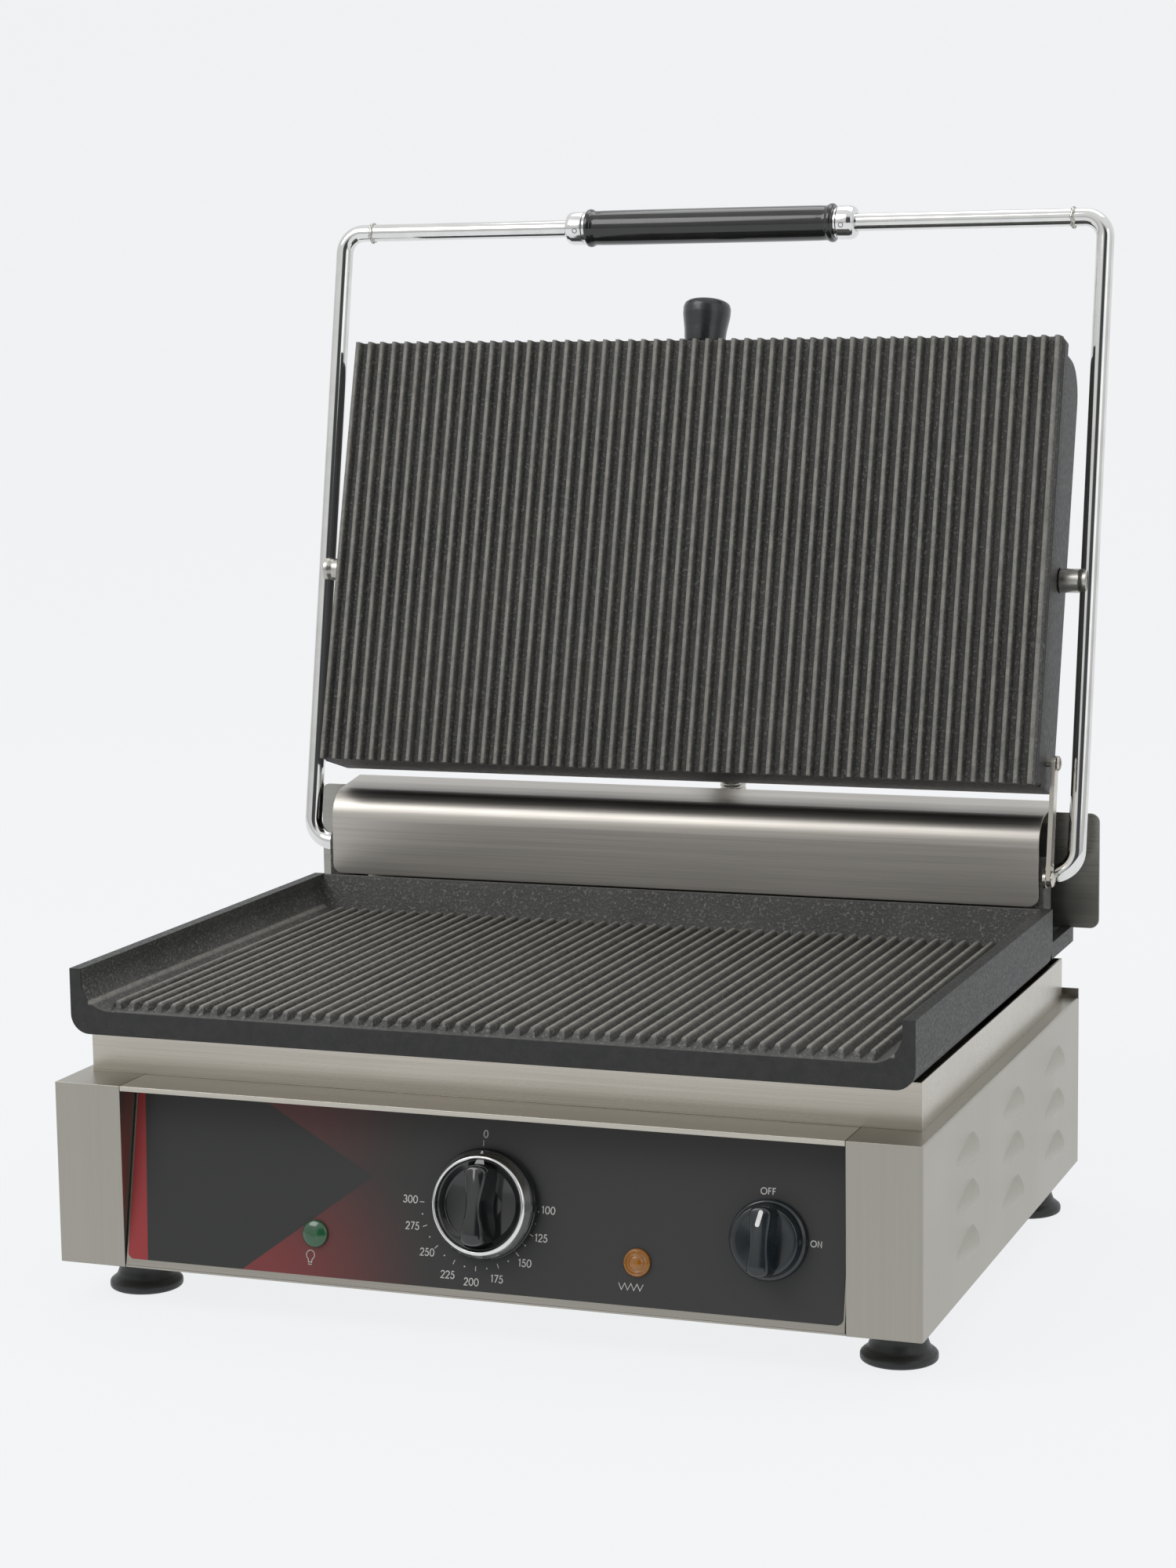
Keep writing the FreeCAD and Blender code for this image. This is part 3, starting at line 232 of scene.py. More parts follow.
# ------------------------------------------------------------------ materials
class Shader:
    """A node material with a Principled shader and helpers to wire it."""

    def __init__(self, name, color, roughness, metallic=0.0, **values):
        self.material = bpy.data.materials.new(name)
        self.material.use_nodes = True
        self.nodes = self.material.node_tree.nodes
        self.links = self.material.node_tree.links
        self.shader = self.nodes["Principled BSDF"]
        self.shader.inputs["Base Color"].default_value = (*color, 1.0)
        self.shader.inputs["Roughness"].default_value = roughness
        self.shader.inputs["Metallic"].default_value = metallic
        for socket, value in values.items():
            self.shader.inputs[socket.replace("_", " ")].default_value = value
        self.position = self.nodes.new("ShaderNodeTexCoord").outputs["Object"]

    def set(self, socket, source):
        self.links.new(source, self.shader.inputs[socket])

    def value(self, item, target):
        if isinstance(item, (int, float)):
            target.default_value = item
        else:
            self.links.new(item, target)

    def math(self, operation, first, second=0.0):
        node = self.nodes.new("ShaderNodeMath")
        node.operation = operation
        self.value(first, node.inputs[0])
        self.value(second, node.inputs[1])
        return node.outputs[0]

    def scaled(self, scale):
        node = self.nodes.new("ShaderNodeMapping")
        self.links.new(self.position, node.inputs["Vector"])
        node.inputs["Scale"].default_value = scale
        return node.outputs[0]

    def noise(self, scale, size=1.0, detail=3.0, rough=0.6):
        node = self.nodes.new("ShaderNodeTexNoise")
        self.links.new(self.scaled(scale), node.inputs["Vector"])
        node.inputs["Scale"].default_value = size
        node.inputs["Detail"].default_value = detail
        node.inputs["Roughness"].default_value = rough
        return node.outputs["Fac"]

    def cells(self, size):
        node = self.nodes.new("ShaderNodeTexVoronoi")
        self.links.new(self.position, node.inputs["Vector"])
        node.feature = "SMOOTH_F1"
        node.inputs["Scale"].default_value = size
        return node.outputs["Distance"]

    def dot(self, direction, offset=0.0):
        """Distance along a direction, in millimetres, less an offset."""
        node = self.nodes.new("ShaderNodeVectorMath")
        node.operation = "DOT_PRODUCT"
        self.links.new(self.position, node.inputs[0])
        node.inputs[1].default_value = [1000 * v for v in direction]
        return self.math("SUBTRACT", node.outputs["Value"], offset)

    def fit(self, source, low, high, out_low=0.0, out_high=1.0):
        node = self.nodes.new("ShaderNodeMapRange")
        node.interpolation_type = "SMOOTHSTEP"
        self.links.new(source, node.inputs["Value"])
        for socket, value in zip(("From Min", "From Max", "To Min", "To Max"),
                                 (low, high, out_low, out_high)):
            node.inputs[socket].default_value = value
        return node.outputs[0]

    def mix(self, factor, first, second):
        node = self.nodes.new("ShaderNodeMix")
        node.data_type = "RGBA"
        self.links.new(factor, node.inputs["Factor"])
        for item, socket in ((first, node.inputs[6]), (second, node.inputs[7])):
            if isinstance(item, tuple):
                socket.default_value = (*item, 1.0)
            else:
                self.links.new(item, socket)
        return node.outputs[2]

    def bump(self, heights, edge=0.0):
        """Bump from [(height, strength, distance in mm)], with softened edges."""
        normal = None
        if edge:
            bevel = self.nodes.new("ShaderNodeBevel")
            bevel.samples = 4
            bevel.inputs["Radius"].default_value = edge * MM
            normal = bevel.outputs["Normal"]
        for height, strength, distance in heights:
            node = self.nodes.new("ShaderNodeBump")
            node.inputs["Strength"].default_value = strength
            node.inputs["Distance"].default_value = distance * MM
            self.links.new(height, node.inputs["Height"])
            if normal is not None:
                self.links.new(normal, node.inputs["Normal"])
            normal = node.outputs["Normal"]
        self.set("Normal", normal)


def brushed_steel(name, color, roughness, grain, edge=0.6, depth=1.0):
    """Sheet steel with fine strokes along one axis and faint smudges."""
    steel = Shader(name, color, roughness, 1.0)
    fine = steel.noise(tuple(8 if axis == grain else 1800 for axis in "XYZ"), 1.0, 4, 0.65)
    soft = steel.noise(tuple(2 if axis == grain else 300 for axis in "XYZ"), 1.0, 2)
    clouds = steel.noise((1, 1, 1), 7.0, 2)
    dark = tuple(c * (1 - 0.07 * depth) for c in color)
    light = tuple(min(1.0, c * (1 + 0.05 * depth)) for c in color)
    amount = steel.math("ADD", steel.math("MULTIPLY", fine, 0.65),
                        steel.math("MULTIPLY", soft, 0.35))
    steel.set("Base Color", steel.mix(steel.fit(amount, 0.38, 0.62), dark, light))
    rough = steel.math("ADD", steel.fit(clouds, 0.3, 0.75, roughness - 0.02, roughness + 0.03),
                       steel.fit(fine, 0.3, 0.7, -0.015, 0.02))
    steel.set("Roughness", rough)
    steel.bump([(fine, 0.05 * depth, 0.03)], edge)
    return steel.material


def cast_iron(name, direction, crest_low, crest_high, tray):
    """Dark casting: grainy where food lies, smoother outside, worn along the crests, with a
    painted highlight along them.

    The limits are millimetres in the press's frame, measured along `direction`.
    """
    iron = Shader(name, (0.03, 0.03, 0.029), 0.55, 0.0)
    iron.shader.inputs["Specular IOR Level"].default_value = 0.42
    grain = iron.noise((1, 1, 1), 520.0, 3, 0.75)
    pits = iron.cells(380.0)
    waves = iron.noise((1, 1, 1), 120.0, 2)
    patches = iron.noise((1, 1, 1), 12.0, 3)
    crest = iron.fit(iron.dot(direction), crest_low, crest_high)
    if tray:
        across = iron.math("ABSOLUTE", iron.dot((1, 0, 0)))
        within = iron.math("MULTIPLY", iron.fit(across, 255.2, 256.2, 1.0, 0.0),
                           iron.fit(iron.dot((0, 1, 0)), -223.9, -223.0))
        height = iron.dot((0, 0, 1))
        food = iron.math("MULTIPLY", within, iron.fit(height, 178.0, 179.4))
        field = iron.math("MULTIPLY", iron.fit(across, 250.5, 251.5, 1.0, 0.0),
                          iron.fit(iron.dot((0, 1, 0)), 116.0, 117.0, 1.0, 0.0))
        crest = iron.math("MULTIPLY", iron.math("MULTIPLY", crest, field),
                          iron.fit(height, 185.2, 186.2, 1.0, 0.0))
    else:
        food = iron.fit(iron.dot(direction), crest_low - 4.2, crest_low - 3.2)
    body = iron.mix(iron.fit(patches, 0.3, 0.7), (0.046, 0.047, 0.044), (0.070, 0.070, 0.065))
    speckled = iron.mix(iron.fit(grain, 0.50, 0.68), body, (0.165, 0.162, 0.150))
    painted = iron.mix(iron.fit(waves, 0.3, 0.7), (0.0150, 0.0155, 0.0150),
                       (0.022, 0.022, 0.021))
    # Lighter crests: partly real wear, partly a painted highlight along them.
    wear_and_highlight = iron.math("MULTIPLY", crest, iron.fit(waves, 0.25, 0.7, 0.55, 1.0))
    surface = iron.mix(food, painted, speckled)
    iron.set("Base Color", iron.mix(wear_and_highlight, surface, (0.235, 0.227, 0.205)))
    iron.set("Roughness", iron.fit(grain, 0.3, 0.7, 0.40, 0.62))
    rough = iron.math("MULTIPLY", iron.fit(grain, 0.35, 0.65), iron.fit(food, 0, 1, 0.15, 1.0))
    pocks = iron.math("MULTIPLY", pits, iron.fit(food, 0, 1, 0.1, 1.0))
    iron.bump([(rough, 0.75, 0.40), (pocks, 0.45, 0.5), (waves, 0.12, 0.6)], 0.8)
    return iron.material


def gloss(name, color, roughness, coat=0.4):
    plastic = Shader(name, color, roughness, 0.0, Coat_Weight=coat, Coat_Roughness=0.06)
    haze = plastic.noise((1, 1, 1), 55.0, 3)
    fine = plastic.noise((1, 1, 1), 900.0, 2)
    plastic.set("Roughness", plastic.fit(haze, 0.3, 0.7, roughness * 0.8, roughness * 1.35))
    plastic.set("Base Color", plastic.mix(plastic.fit(haze, 0.3, 0.7), color,
                                          tuple(c * 1.35 for c in color)))
    plastic.bump([(fine, 0.03, 0.05)])
    return plastic.material


def chrome(name, color, roughness):
    metal = Shader(name, color, roughness, 1.0)
    haze = metal.noise((1, 1, 1), 40.0, 3)
    scratches = metal.noise((60, 900, 60), 1.0, 3)
    metal.set("Roughness", metal.fit(haze, 0.3, 0.7, roughness * 0.7, roughness * 1.5))
    metal.set("Base Color", metal.mix(metal.fit(haze, 0.35, 0.7), color,
                                      tuple(c * 0.9 for c in color)))
    metal.bump([(scratches, 0.02, 0.05), (haze, 0.04, 0.3)])
    return metal.material


def rubber(name, color):
    matt = Shader(name, color, 0.5, 0.0)
    grain = matt.noise((1, 1, 1), 700.0, 3)
    dust = matt.noise((1, 1, 1), 30.0, 3)
    matt.set("Base Color", matt.mix(matt.fit(dust, 0.35, 0.75), color,
                                    tuple(c * 1.9 for c in color)))
    matt.set("Roughness", matt.fit(grain, 0.3, 0.7, 0.34, 0.52))
    matt.bump([(grain, 0.12, 0.1)])
    return matt.material


def printed_film():
    """Graphite film with a red edge, a dark arrowhead and a maroon glow round it."""
    film = Shader("printed_film", (0.022, 0.0225, 0.022), 0.42, 0.0, Specular_IOR_Level=0.42)
    tilt_up = (0, sin_d(PANEL_TILT), cos_d(PANEL_TILT))
    across = film.dot((1, 0, 0))
    up = film.dot(tilt_up, FRONT_Y * tilt_up[1] + PANEL_Z * tilt_up[2])

    def side_of(first, second):
        """Signed distance from the line through two panel points."""
        (x0, y0), (x1, y1) = first, second
        length = math.hypot(x1 - x0, y1 - y0)
        nx, ny = (y1 - y0) / length, -(x1 - x0) / length
        part = film.math("ADD", film.math("MULTIPLY", across, nx),
                         film.math("MULTIPLY", up, ny))
        return film.math("SUBTRACT", part, nx * x0 + ny * y0)

    def far_from(x, y, reach):
        """Falls from 1 at a panel point to 0 at its reach."""
        dx = film.math("SUBTRACT", across, x)
        dy = film.math("SUBTRACT", up, y)
        squares = film.math("ADD", film.math("MULTIPLY", dx, dx),
                            film.math("MULTIPLY", dy, dy))
        return film.fit(film.math("SQRT", squares), 0.0, reach, 1.0, 0.0)

    upper = film.fit(side_of((-66.1, 65.3), (-134.7, 102.5)), -0.15, 0.15)
    lower = film.fit(side_of((-147.2, 4.2), (-66.1, 65.3)), -0.15, 0.15)
    outside = film.math("MAXIMUM", upper, lower)
    glow = film.math("MAXIMUM", far_from(-140, -6, 125),
                     film.math("MULTIPLY", far_from(-130, 112, 105), 0.42))
    glow = film.math("MULTIPLY", outside, glow)
    edge = film.fit(side_of((-210.2, 0.0), (-219.0, 104.0)), -0.15, 0.15, 1.0, 0.0)
    # Painted light: the film is darker towards the left and lighter towards the right.
    base = film.mix(film.fit(across, -230, 230), (0.0215, 0.0225, 0.0215),
                    (0.029, 0.030, 0.0285))
    tinted = film.mix(glow, base, (0.165, 0.028, 0.028))
    film.set("Base Color", film.mix(edge, tinted, (0.27, 0.028, 0.030)))
    grain = film.noise((1, 1, 1), 1200.0, 2)
    film.set("Roughness", film.fit(grain, 0.3, 0.7, 0.36, 0.50))
    film.bump([(grain, 0.10, 0.06)], 0.3)
    return film.material


def lens(name, color, glow, roughness=0.14):
    """Moulded lens with painted light: lighter where it faces the eye, deeper in colour where
    it turns away.
    """
    glass = Shader(name, color, roughness, 0.0, Coat_Weight=0.7, Coat_Roughness=0.05,
                   Transmission_Weight=0.15, IOR=1.5)
    facing = glass.nodes.new("ShaderNodeLayerWeight")
    facing.inputs["Blend"].default_value = 0.35
    haze = glass.noise((1, 1, 1), 90.0, 2)
    # Painted light: the lighter glow colour where the lens faces the eye, its own colour
    # towards the edges.
    tint = glass.mix(glass.fit(facing.outputs["Facing"], 0.0, 0.8), glow, color)
    glass.set("Base Color", glass.mix(glass.fit(haze, 0.3, 0.7, 0.0, 0.4), tint, color))
    glass.bump([(haze, 0.02, 0.05)])
    return glass.material


def plain(name, color, roughness, metallic=0.0, size=120.0):
    surface = Shader(name, color, roughness, metallic)
    grain = surface.noise((1, 1, 1), size, 4)
    surface.set("Base Color", surface.mix(surface.fit(grain, 0.3, 0.7),
                                          tuple(c * 0.8 for c in color), color))
    surface.set("Roughness", surface.fit(grain, 0.3, 0.7, roughness * 0.85, roughness * 1.1))
    surface.bump([(grain, 0.1, 0.2)])
    return surface.material


STEEL = (0.395, 0.378, 0.335)
steel_x = brushed_steel("brushed_steel_x", STEEL, 0.30, "X")
steel_z = brushed_steel("brushed_steel_z", (0.375, 0.360, 0.315), 0.34, "Z", 0.8, 0.4)
# Painted shade: the back plate's steel is a darker copy of the same brushed steel.
shaded_steel_back = brushed_steel("brushed_steel_back_shaded", (0.34, 0.335, 0.31), 0.30, "X")
# Painted light: the hood's and the skirt's steel are lighter copies of the same brushed steel.
lit_steel_hood = brushed_steel("brushed_steel_hood_lit", (0.49, 0.465, 0.43), 0.40, "X", 0.6, 1.5)
lit_steel_skirt = brushed_steel("brushed_steel_skirt_lit", (0.50, 0.47, 0.415), 0.27, "X", 0.6, 1.3)
polished = brushed_steel("polished_steel", (0.50, 0.475, 0.42), 0.17, "X", 0.5, 0.7)
crest_way = (0, -cos_d(LID_LEAN), sin_d(LID_LEAN))
lid_zero = Vector(crest_way).dot(PIVOT)
iron_lower = cast_iron("cast_iron_tray", (0, 0, 1), 182.6, 184.3, True)
iron_upper = cast_iron("cast_iron_lid", crest_way, lid_zero + 33.0, lid_zero + 34.8, False)
black_gloss = gloss("black_gloss", (0.010, 0.010, 0.010), 0.13)
knob_black = gloss("knob_black", (0.008, 0.0085, 0.009), 0.10, 0.6)
switch_black = gloss("switch_black", (0.009, 0.013, 0.016), 0.22, 0.3)
lid_knob_black = gloss("lid_knob_black", (0.014, 0.016, 0.017), 0.24, 0.2)
foot_rubber = rubber("foot_rubber", (0.012, 0.0125, 0.013))
chrome_rod = chrome("chrome_rod", (0.78, 0.78, 0.77), 0.07)
chrome_trim = chrome("chrome_trim", (0.80, 0.80, 0.80), 0.10)
weld_metal = plain("weld_metal", (0.55, 0.54, 0.50), 0.32, 1.0, 500.0)
rivet_metal = chrome("rivet_metal", (0.62, 0.59, 0.53), 0.2)
conduit_metal = chrome("conduit_metal", (0.55, 0.53, 0.49), 0.24)
film = printed_film()
print_light = plain("print_light", (0.50, 0.50, 0.48), 0.5)
print_white = plain("print_white", (0.80, 0.80, 0.79), 0.35)
green_glass = lens("green_glass", (0.006, 0.050, 0.018), (0.012, 0.095, 0.035), 0.22)
amber_glass = lens("amber_glass", (0.17, 0.052, 0.001), (0.36, 0.135, 0.003))
wool = plain("mineral_wool", (0.55, 0.52, 0.42), 0.9, 0.0, 400.0)
element_metal = plain("element_metal", (0.30, 0.28, 0.25), 0.4, 1.0)
bronze = plain("bronze", (0.55, 0.38, 0.2), 0.35, 1.0)
spring_metal = plain("spring_metal", (0.35, 0.35, 0.36), 0.3, 1.0)
dark_plastic = plain("dark_plastic", (0.03, 0.03, 0.03), 0.5)
lid_paint = plain("lid_paint", (0.017, 0.0175, 0.017), 0.52, 0.0, 300.0)

LOOKS = {
    "case_panel_left": steel_z, "case_panel_right": steel_z, "rear_panel": steel_x,
    "bottom_cover": steel_x, "deck": polished, "control_panel": steel_x,
    "control_overlay": film, "skirt_frame": lit_steel_skirt, "rear_hood": lit_steel_hood,
    "back_plate": shaded_steel_back, "lid_cover": lid_paint, "lower_plate": iron_lower,
    "upper_plate": iron_upper, "conduit_gland_rear": conduit_metal,
    "conduit_gland_lid": conduit_metal, "cord_gland": dark_plastic,
    "thermostat_body": dark_plastic, "switch_body": dark_plastic,
    "terminal_block": dark_plastic, "lower_element": element_metal,
    "upper_element": element_metal, "heat_shield": element_metal,
    "thermostat_bulb": element_metal, "insulation_pad": wool, "upper_insulation": wool,
    "foot_screws": rivet_metal, "lift_spring_left": spring_metal,
    "lift_spring_right": spring_metal, "hinge_bush_left": bronze,
    "hinge_bush_right": bronze, "stay_bar": rivet_metal, "stay_lug": rivet_metal,
}
for node_name, look in LOOKS.items():
    if node_name in NODES:
        node_object = NODES[node_name]
        node_object.data.materials.clear()
        node_object.data.materials.append(look)

# ----------------------------------------------------------------------- feet
FOOT = rounded([(0, 0), (20.5, 0), (22.5, 1.2), (22.5, 4.8), (20.6, 6.4), (18.3, 8.0),
                (16.6, 12.5), (16.4, 18.0), (17.5, 25.0), (0, 25.0)], 1.6, 4)
# The left feet stand further in than the right ones, as in the photo.
FOOT_PLACES_X = (("left", -235.0), ("right", 245.0))
FOOT_PLACES_Y = (("front", -191.2), ("rear", 136.8))
for side_name, across in FOOT_PLACES_X:
    for end_name, along in FOOT_PLACES_Y:
        lathe(f"foot_{end_name}_{side_name}_moulded", FOOT, turned((across, along, 0), 0),
              foot_rubber, "base", (f"foot_{end_name}_{side_name}",))

# ------------------------------------------------------------- bail arm, chrome


def arc(centre, radius, start, end, plane, steps=12):
    """Points of an arc in a plane given by two unit vectors."""
    first, second = (Vector(v) for v in plane)
    centre = Vector(centre)
    result = []
    for step in range(steps + 1):
        angle = math.radians(start + (end - start) * step / steps)
        result.append(centre + (first * math.cos(angle) + second * math.sin(angle)) * radius)
    return result


FLAT = ((1, 0, 0), (0, 1, 0))
for side_name, sign in (("left", -1), ("right", 1)):
    route = [(JOURNAL_END, 0, 0), (231, 0, 0)]
    route += arc((ARM_HALF - FOOT_BEND, -FOOT_BEND, 0), FOOT_BEND, 90, 0, FLAT)
    route += [(ARM_HALF, -y, 0) for y in range(40, int(ARM_REACH - TOP_BEND), 40)]
    route += arc((ARM_HALF - TOP_BEND, TOP_BEND - ARM_REACH, 0), TOP_BEND, 0, -90, FLAT)
    route += [(ARM_HALF - WELD_INSET, -ARM_REACH, 0)]
    route = [(sign * Vector(p).x, Vector(p).y, 0) for p in route]
    tube(f"arm_{side_name}_bar", route, BAR_RADIUS, ARM_FRAME, chrome_rod, "arm",
         (f"arm_{side_name}",), 32)
    # A slightly uneven weld bead where the crossbar meets the bent arm.
    bead = []
    for step in range(41):
        angle = 2 * math.pi * step / 40
        reach = 5.7 + 0.2 * math.sin(9 * angle)
        bead.append((sign * (252.2 + 0.5 * math.sin(5 * angle)),
                     reach * math.cos(angle) - ARM_REACH, reach * math.sin(angle)))
    tube(f"weld_bead_{side_name}", bead, [1.5 + 0.3 * math.sin(i * 1.9) for i in range(41)],
         ARM_FRAME, weld_metal, "arm", (), 10)
    stub = rounded([(0, 0), (5, 0), (5, 20.2), (8, 20.2), (8, 33.4), (9.2, 36.2),
                    (9.6, 39.4), (0, 39.4)], 0.8, 3)
    lathe(f"lid_pivot_{side_name}_stub", stub,
          ARM_FRAME @ Matrix.Translation((sign * 234.2, -PIVOT_REACH, 0))
          @ Matrix.Rotation(math.radians(sign * 90), 4, "Y"), weld_metal, "arm",
          (f"lid_pivot_{side_name}",), 40)
tube("crossbar_rod", [(x, -ARM_REACH, 0) for x in range(-252, 253, 24)], BAR_RADIUS,
     ARM_FRAME, chrome_rod, "arm", ("crossbar",), 32)

ACROSS_ARM = ARM_FRAME @ Matrix.Translation((0, -ARM_REACH, 0)) @ Matrix.Rotation(
    math.radians(90), 4, "Y")
GRIP = [(6.1, -89), (12.2, -89), (13.0, -88.2), (13.2, -86.6), (12.7, -85.2), (12.0, -84.2),
        (11.75, -82.5), (11.9, -78), (12.0, -60), (12.05, 0)]
grip_profile = GRIP + [(r, -z) for r, z in reversed(GRIP[:-1])]
lathe("handle_grip_sleeve", rounded(grip_profile, 0.7, 3), ACROSS_ARM, black_gloss, "arm",
      ("handle_grip",), 72)
for side_name, sign in (("left", -1), ("right", 1)):
    seat = ACROSS_ARM @ Matrix.Rotation(math.radians(0 if sign > 0 else 180), 4, "X")
    profile = rounded([(6.1, 89.0), (10.4, 89.0), (10.4, 91.2), (11.5, 91.8), (11.5, 99.6),
                       (10.6, 102.6), (8.8, 104.0), (6.1, 104.0)], 0.7, 4)
    lathe(f"ferrule_{side_name}_turned", profile, seat, chrome_trim, "arm",
          (f"grip_ferrule_{side_name}",), 56)
    socket = []
    for angle in (200, 20):
        spot = (seat @ Matrix.Translation((0, 0, 95.6)) @ Matrix.Rotation(
            math.radians(angle * sign), 4, "Z") @ Matrix.Translation((11.1, 0, 0))
            @ Matrix.Rotation(math.radians(90), 4, "Y"))
        points, faces = lathe_data([(0, -1.2), (1.7, -1.2), (1.8, 0.45), (1.4, 0.6),
                                    (1.2, -0.6), (0, -0.6)], 20)
        socket.append(([spot @ Vector(p) for p in points], faces))
    points, faces = merge_data(socket)
    make_mesh(f"ferrule_{side_name}_setscrews", points, faces, Matrix(), dark_plastic, "arm")

# ---------------------------------------------------------------- stay rivets
RIVET = rounded([(0, 0), (5, 0), (5, 0.7), (3.9, 1.7), (1.6, 2.1), (1.3, 1.7), (0, 1.6)],
                0.4, 3)
shank = [(0, -5.4), (2.5, -5.4), (2.5, 0)]
lathe("stay_rivet_head", shank + RIVET[1:], ARM_FRAME @ Matrix.Translation((260.7, 4, -12))
      @ Matrix.Rotation(math.radians(90), 4, "Y"), rivet_metal, "arm", ("stay_rivet",), 32)
stud_shank = [(0, -7.1), (2.5, -7.1), (2.5, 0)]
lathe("lid_stay_stud_head", stud_shank + RIVET[1:],
      ARM_FRAME @ Matrix.Translation((261.1, -72, -12))
      @ Matrix.Rotation(math.radians(90), 4, "Y"), rivet_metal, "lid", ("lid_stay_stud",), 32)


def screw_data(radius, height, shaft, shaft_length):
    """A pan head with a cross recess, standing on Z = 0."""
    profile = rounded([(0, -shaft_length), (shaft, -shaft_length), (shaft, 0), (radius, 0),
                       (radius, height * 0.45), (radius * 0.72, height),
                       (radius * 0.5, height)], 0.3, 3)
    points, faces = lathe_data(profile, 32)
    rim = len(points) - 32
    outer = points[rim:]
    inner = []
    for index, (x, y, z) in enumerate(outer):
        angle = 2 * math.pi * index / 32
        reach = 0.42 if index % 8 in (0, 1, 7) else 0.16
        inner.append((radius * reach * math.cos(angle), radius * reach * math.sin(angle),
                      height))
    floor = [(x * 0.6, y * 0.6, height * 0.35) for x, y, z in inner]
    base = len(points)
    points += inner + floor
    for step in range(32):
        following = (step + 1) % 32
        faces.append((rim + step, rim + following, base + following, base + step))
        faces.append((base + step, base + following, base + 32 + following, base + 32 + step))
    faces.append(tuple(range(base + 32, base + 64)))
    return points, faces


def screws(name, places, sizes, material, body, replaces):
    groups = []
    for place in places:
        points, faces = screw_data(*sizes)
        groups.append(([place @ Vector(p) for p in points], faces))
    points, faces = merge_data(groups)
    return make_mesh(name, points, faces, Matrix(), material, body, replaces)


screws("hood_screw_heads",
       [turned((x, BACK_REAR_Y, 257.0), -90) for x in (-225, -75, 75, 225)],
       (4.0, 2.0, 2.0, 8.0), rivet_metal, "base", ("hood_screws",))
screws("lid_screw_heads", [LID_FRAME @ Matrix.Translation((x, y, LID_BACK)) for x in (-226, 226)
                           for y in (-98, 112)],
       (4.0, 2.0, 2.0, 12.0), rivet_metal, "lid", ("lid_screws",))

# -------------------------------------------------------------------- lid knob
KNOB_REACH, KNOB_LIFT = 163.6, 12.0
knob_way = Vector((0, KNOB_REACH * sin_d(LID_LEAN) - KNOB_LIFT * cos_d(LID_LEAN),
                   KNOB_REACH * cos_d(LID_LEAN) + KNOB_LIFT * sin_d(LID_LEAN)))
knob_place = turned(PIVOT + knob_way, -LID_LEAN)
KNOB = rounded([(0, -18), (4, -18), (4, -6), (13.0, -6), (13.8, -4.8), (14.7, 5), (16.3, 15),
                (16.4, 20), (15.5, 22.9), (13.2, 24.4), (11.4, 24.7), (10.8, 24.4), (6, 25.6),
                (0, 26.0)], 1.0, 4)
lathe("lid_knob_moulded", KNOB, knob_place, lid_knob_black, "lid", ("lid_knob",), 64)

# --------------------------------------------------------------------- conduit
start_y = BACK_REAR_Y + GLAND_LENGTH
out_way = Vector((0, cos_d(LID_LEAN), -sin_d(LID_LEAN)))
down_way = Vector((0, -sin_d(LID_LEAN), -cos_d(LID_LEAN)))
entry = PIVOT + down_way * CONDUIT_ENTRY + out_way * LID_BACK
loop = entry + out_way * CONDUIT_TAIL + down_way * CONDUIT_BEND
low_z = loop.z - CONDUIT_BEND
line = [Vector((0, start_y + (loop.y - start_y) * i / 3, low_z)) for i in range(3)]
line += arc(loop, CONDUIT_BEND, -90, 90 - LID_LEAN, ((0, 1, 0), (0, 0, 1)), 40)
tail_run = CONDUIT_TAIL - GLAND_LENGTH
line += [entry + out_way * (CONDUIT_TAIL - tail_run * i / 4) for i in range(1, 5)]
lengths = [0.0]
for before, after in zip(line, line[1:]):
    lengths.append(lengths[-1] + (after - before).length)
fine_line, radii = [], []
COIL_PITCH, COIL_STEPS = 2.9, 6
COIL_VALLEY, COIL_RIDGE = 8.2, 1.0
count = int(lengths[-1] / COIL_PITCH * COIL_STEPS)
for number in range(count + 1):
    along = lengths[-1] * number / count
    index = max(i for i, s in enumerate(lengths) if s <= along + 1e-9)
    index = min(index, len(line) - 2)
    share = (along - lengths[index]) / (lengths[index + 1] - lengths[index])
    fine_line.append(line[index].lerp(line[index + 1], share) + Vector((CONDUIT_X, 0, 0)))
    wave = abs(math.sin(math.pi * along / COIL_PITCH))
    radii.append(COIL_VALLEY + COIL_RIDGE * wave ** 0.7)
# Two pieces meet high on the loop, each listed with the two bodies it runs between.
meet = int(len(fine_line) * 0.62)
for piece_name, part, owner, follower, swap in (
        ("conduit_coil", slice(0, meet + 1), "base", "arm", ("conduit",)),
        ("conduit_coil_end", slice(meet, None), "arm", "lid", ())):
    some = fine_line[part]
    conduit = tube(piece_name, some, radii[part], WORLD_FRAME, conduit_metal, None, swap, 28)
    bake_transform(conduit)

# ------------------------------------------------------------ thermostat knob
DIAL = on_panel(6.5, 55.0, 1.1)
BODY = rounded([(0, -29), (3, -29), (3, 0), (32.1, 0), (32.7, 0.7), (32.7, 4.6), (31.9, 5.6),
                (31.3, 7.0), (26.5, 7.0), (26.5, 11.6), (25.9, 12.2), (25.2, 11.7),
                (22.0, 8.6), (12, 7.6), (0, 7.4)], 0.7, 4)
lathe("thermostat_knob_body", BODY, DIAL, knob_black, "dial", ("thermostat_knob",), 96)
RING = rounded([(26.5, 7.1), (31.5, 7.1), (31.3, 8.4), (28.9, 13.0), (28.0, 14.0),
                (27.1, 14.0), (26.5, 13.2), (26.5, 7.1)], 0.5, 4)
lathe("thermostat_ring_plated", RING, DIAL, chrome_trim, "dial", ("thermostat_knob_ring",), 96)


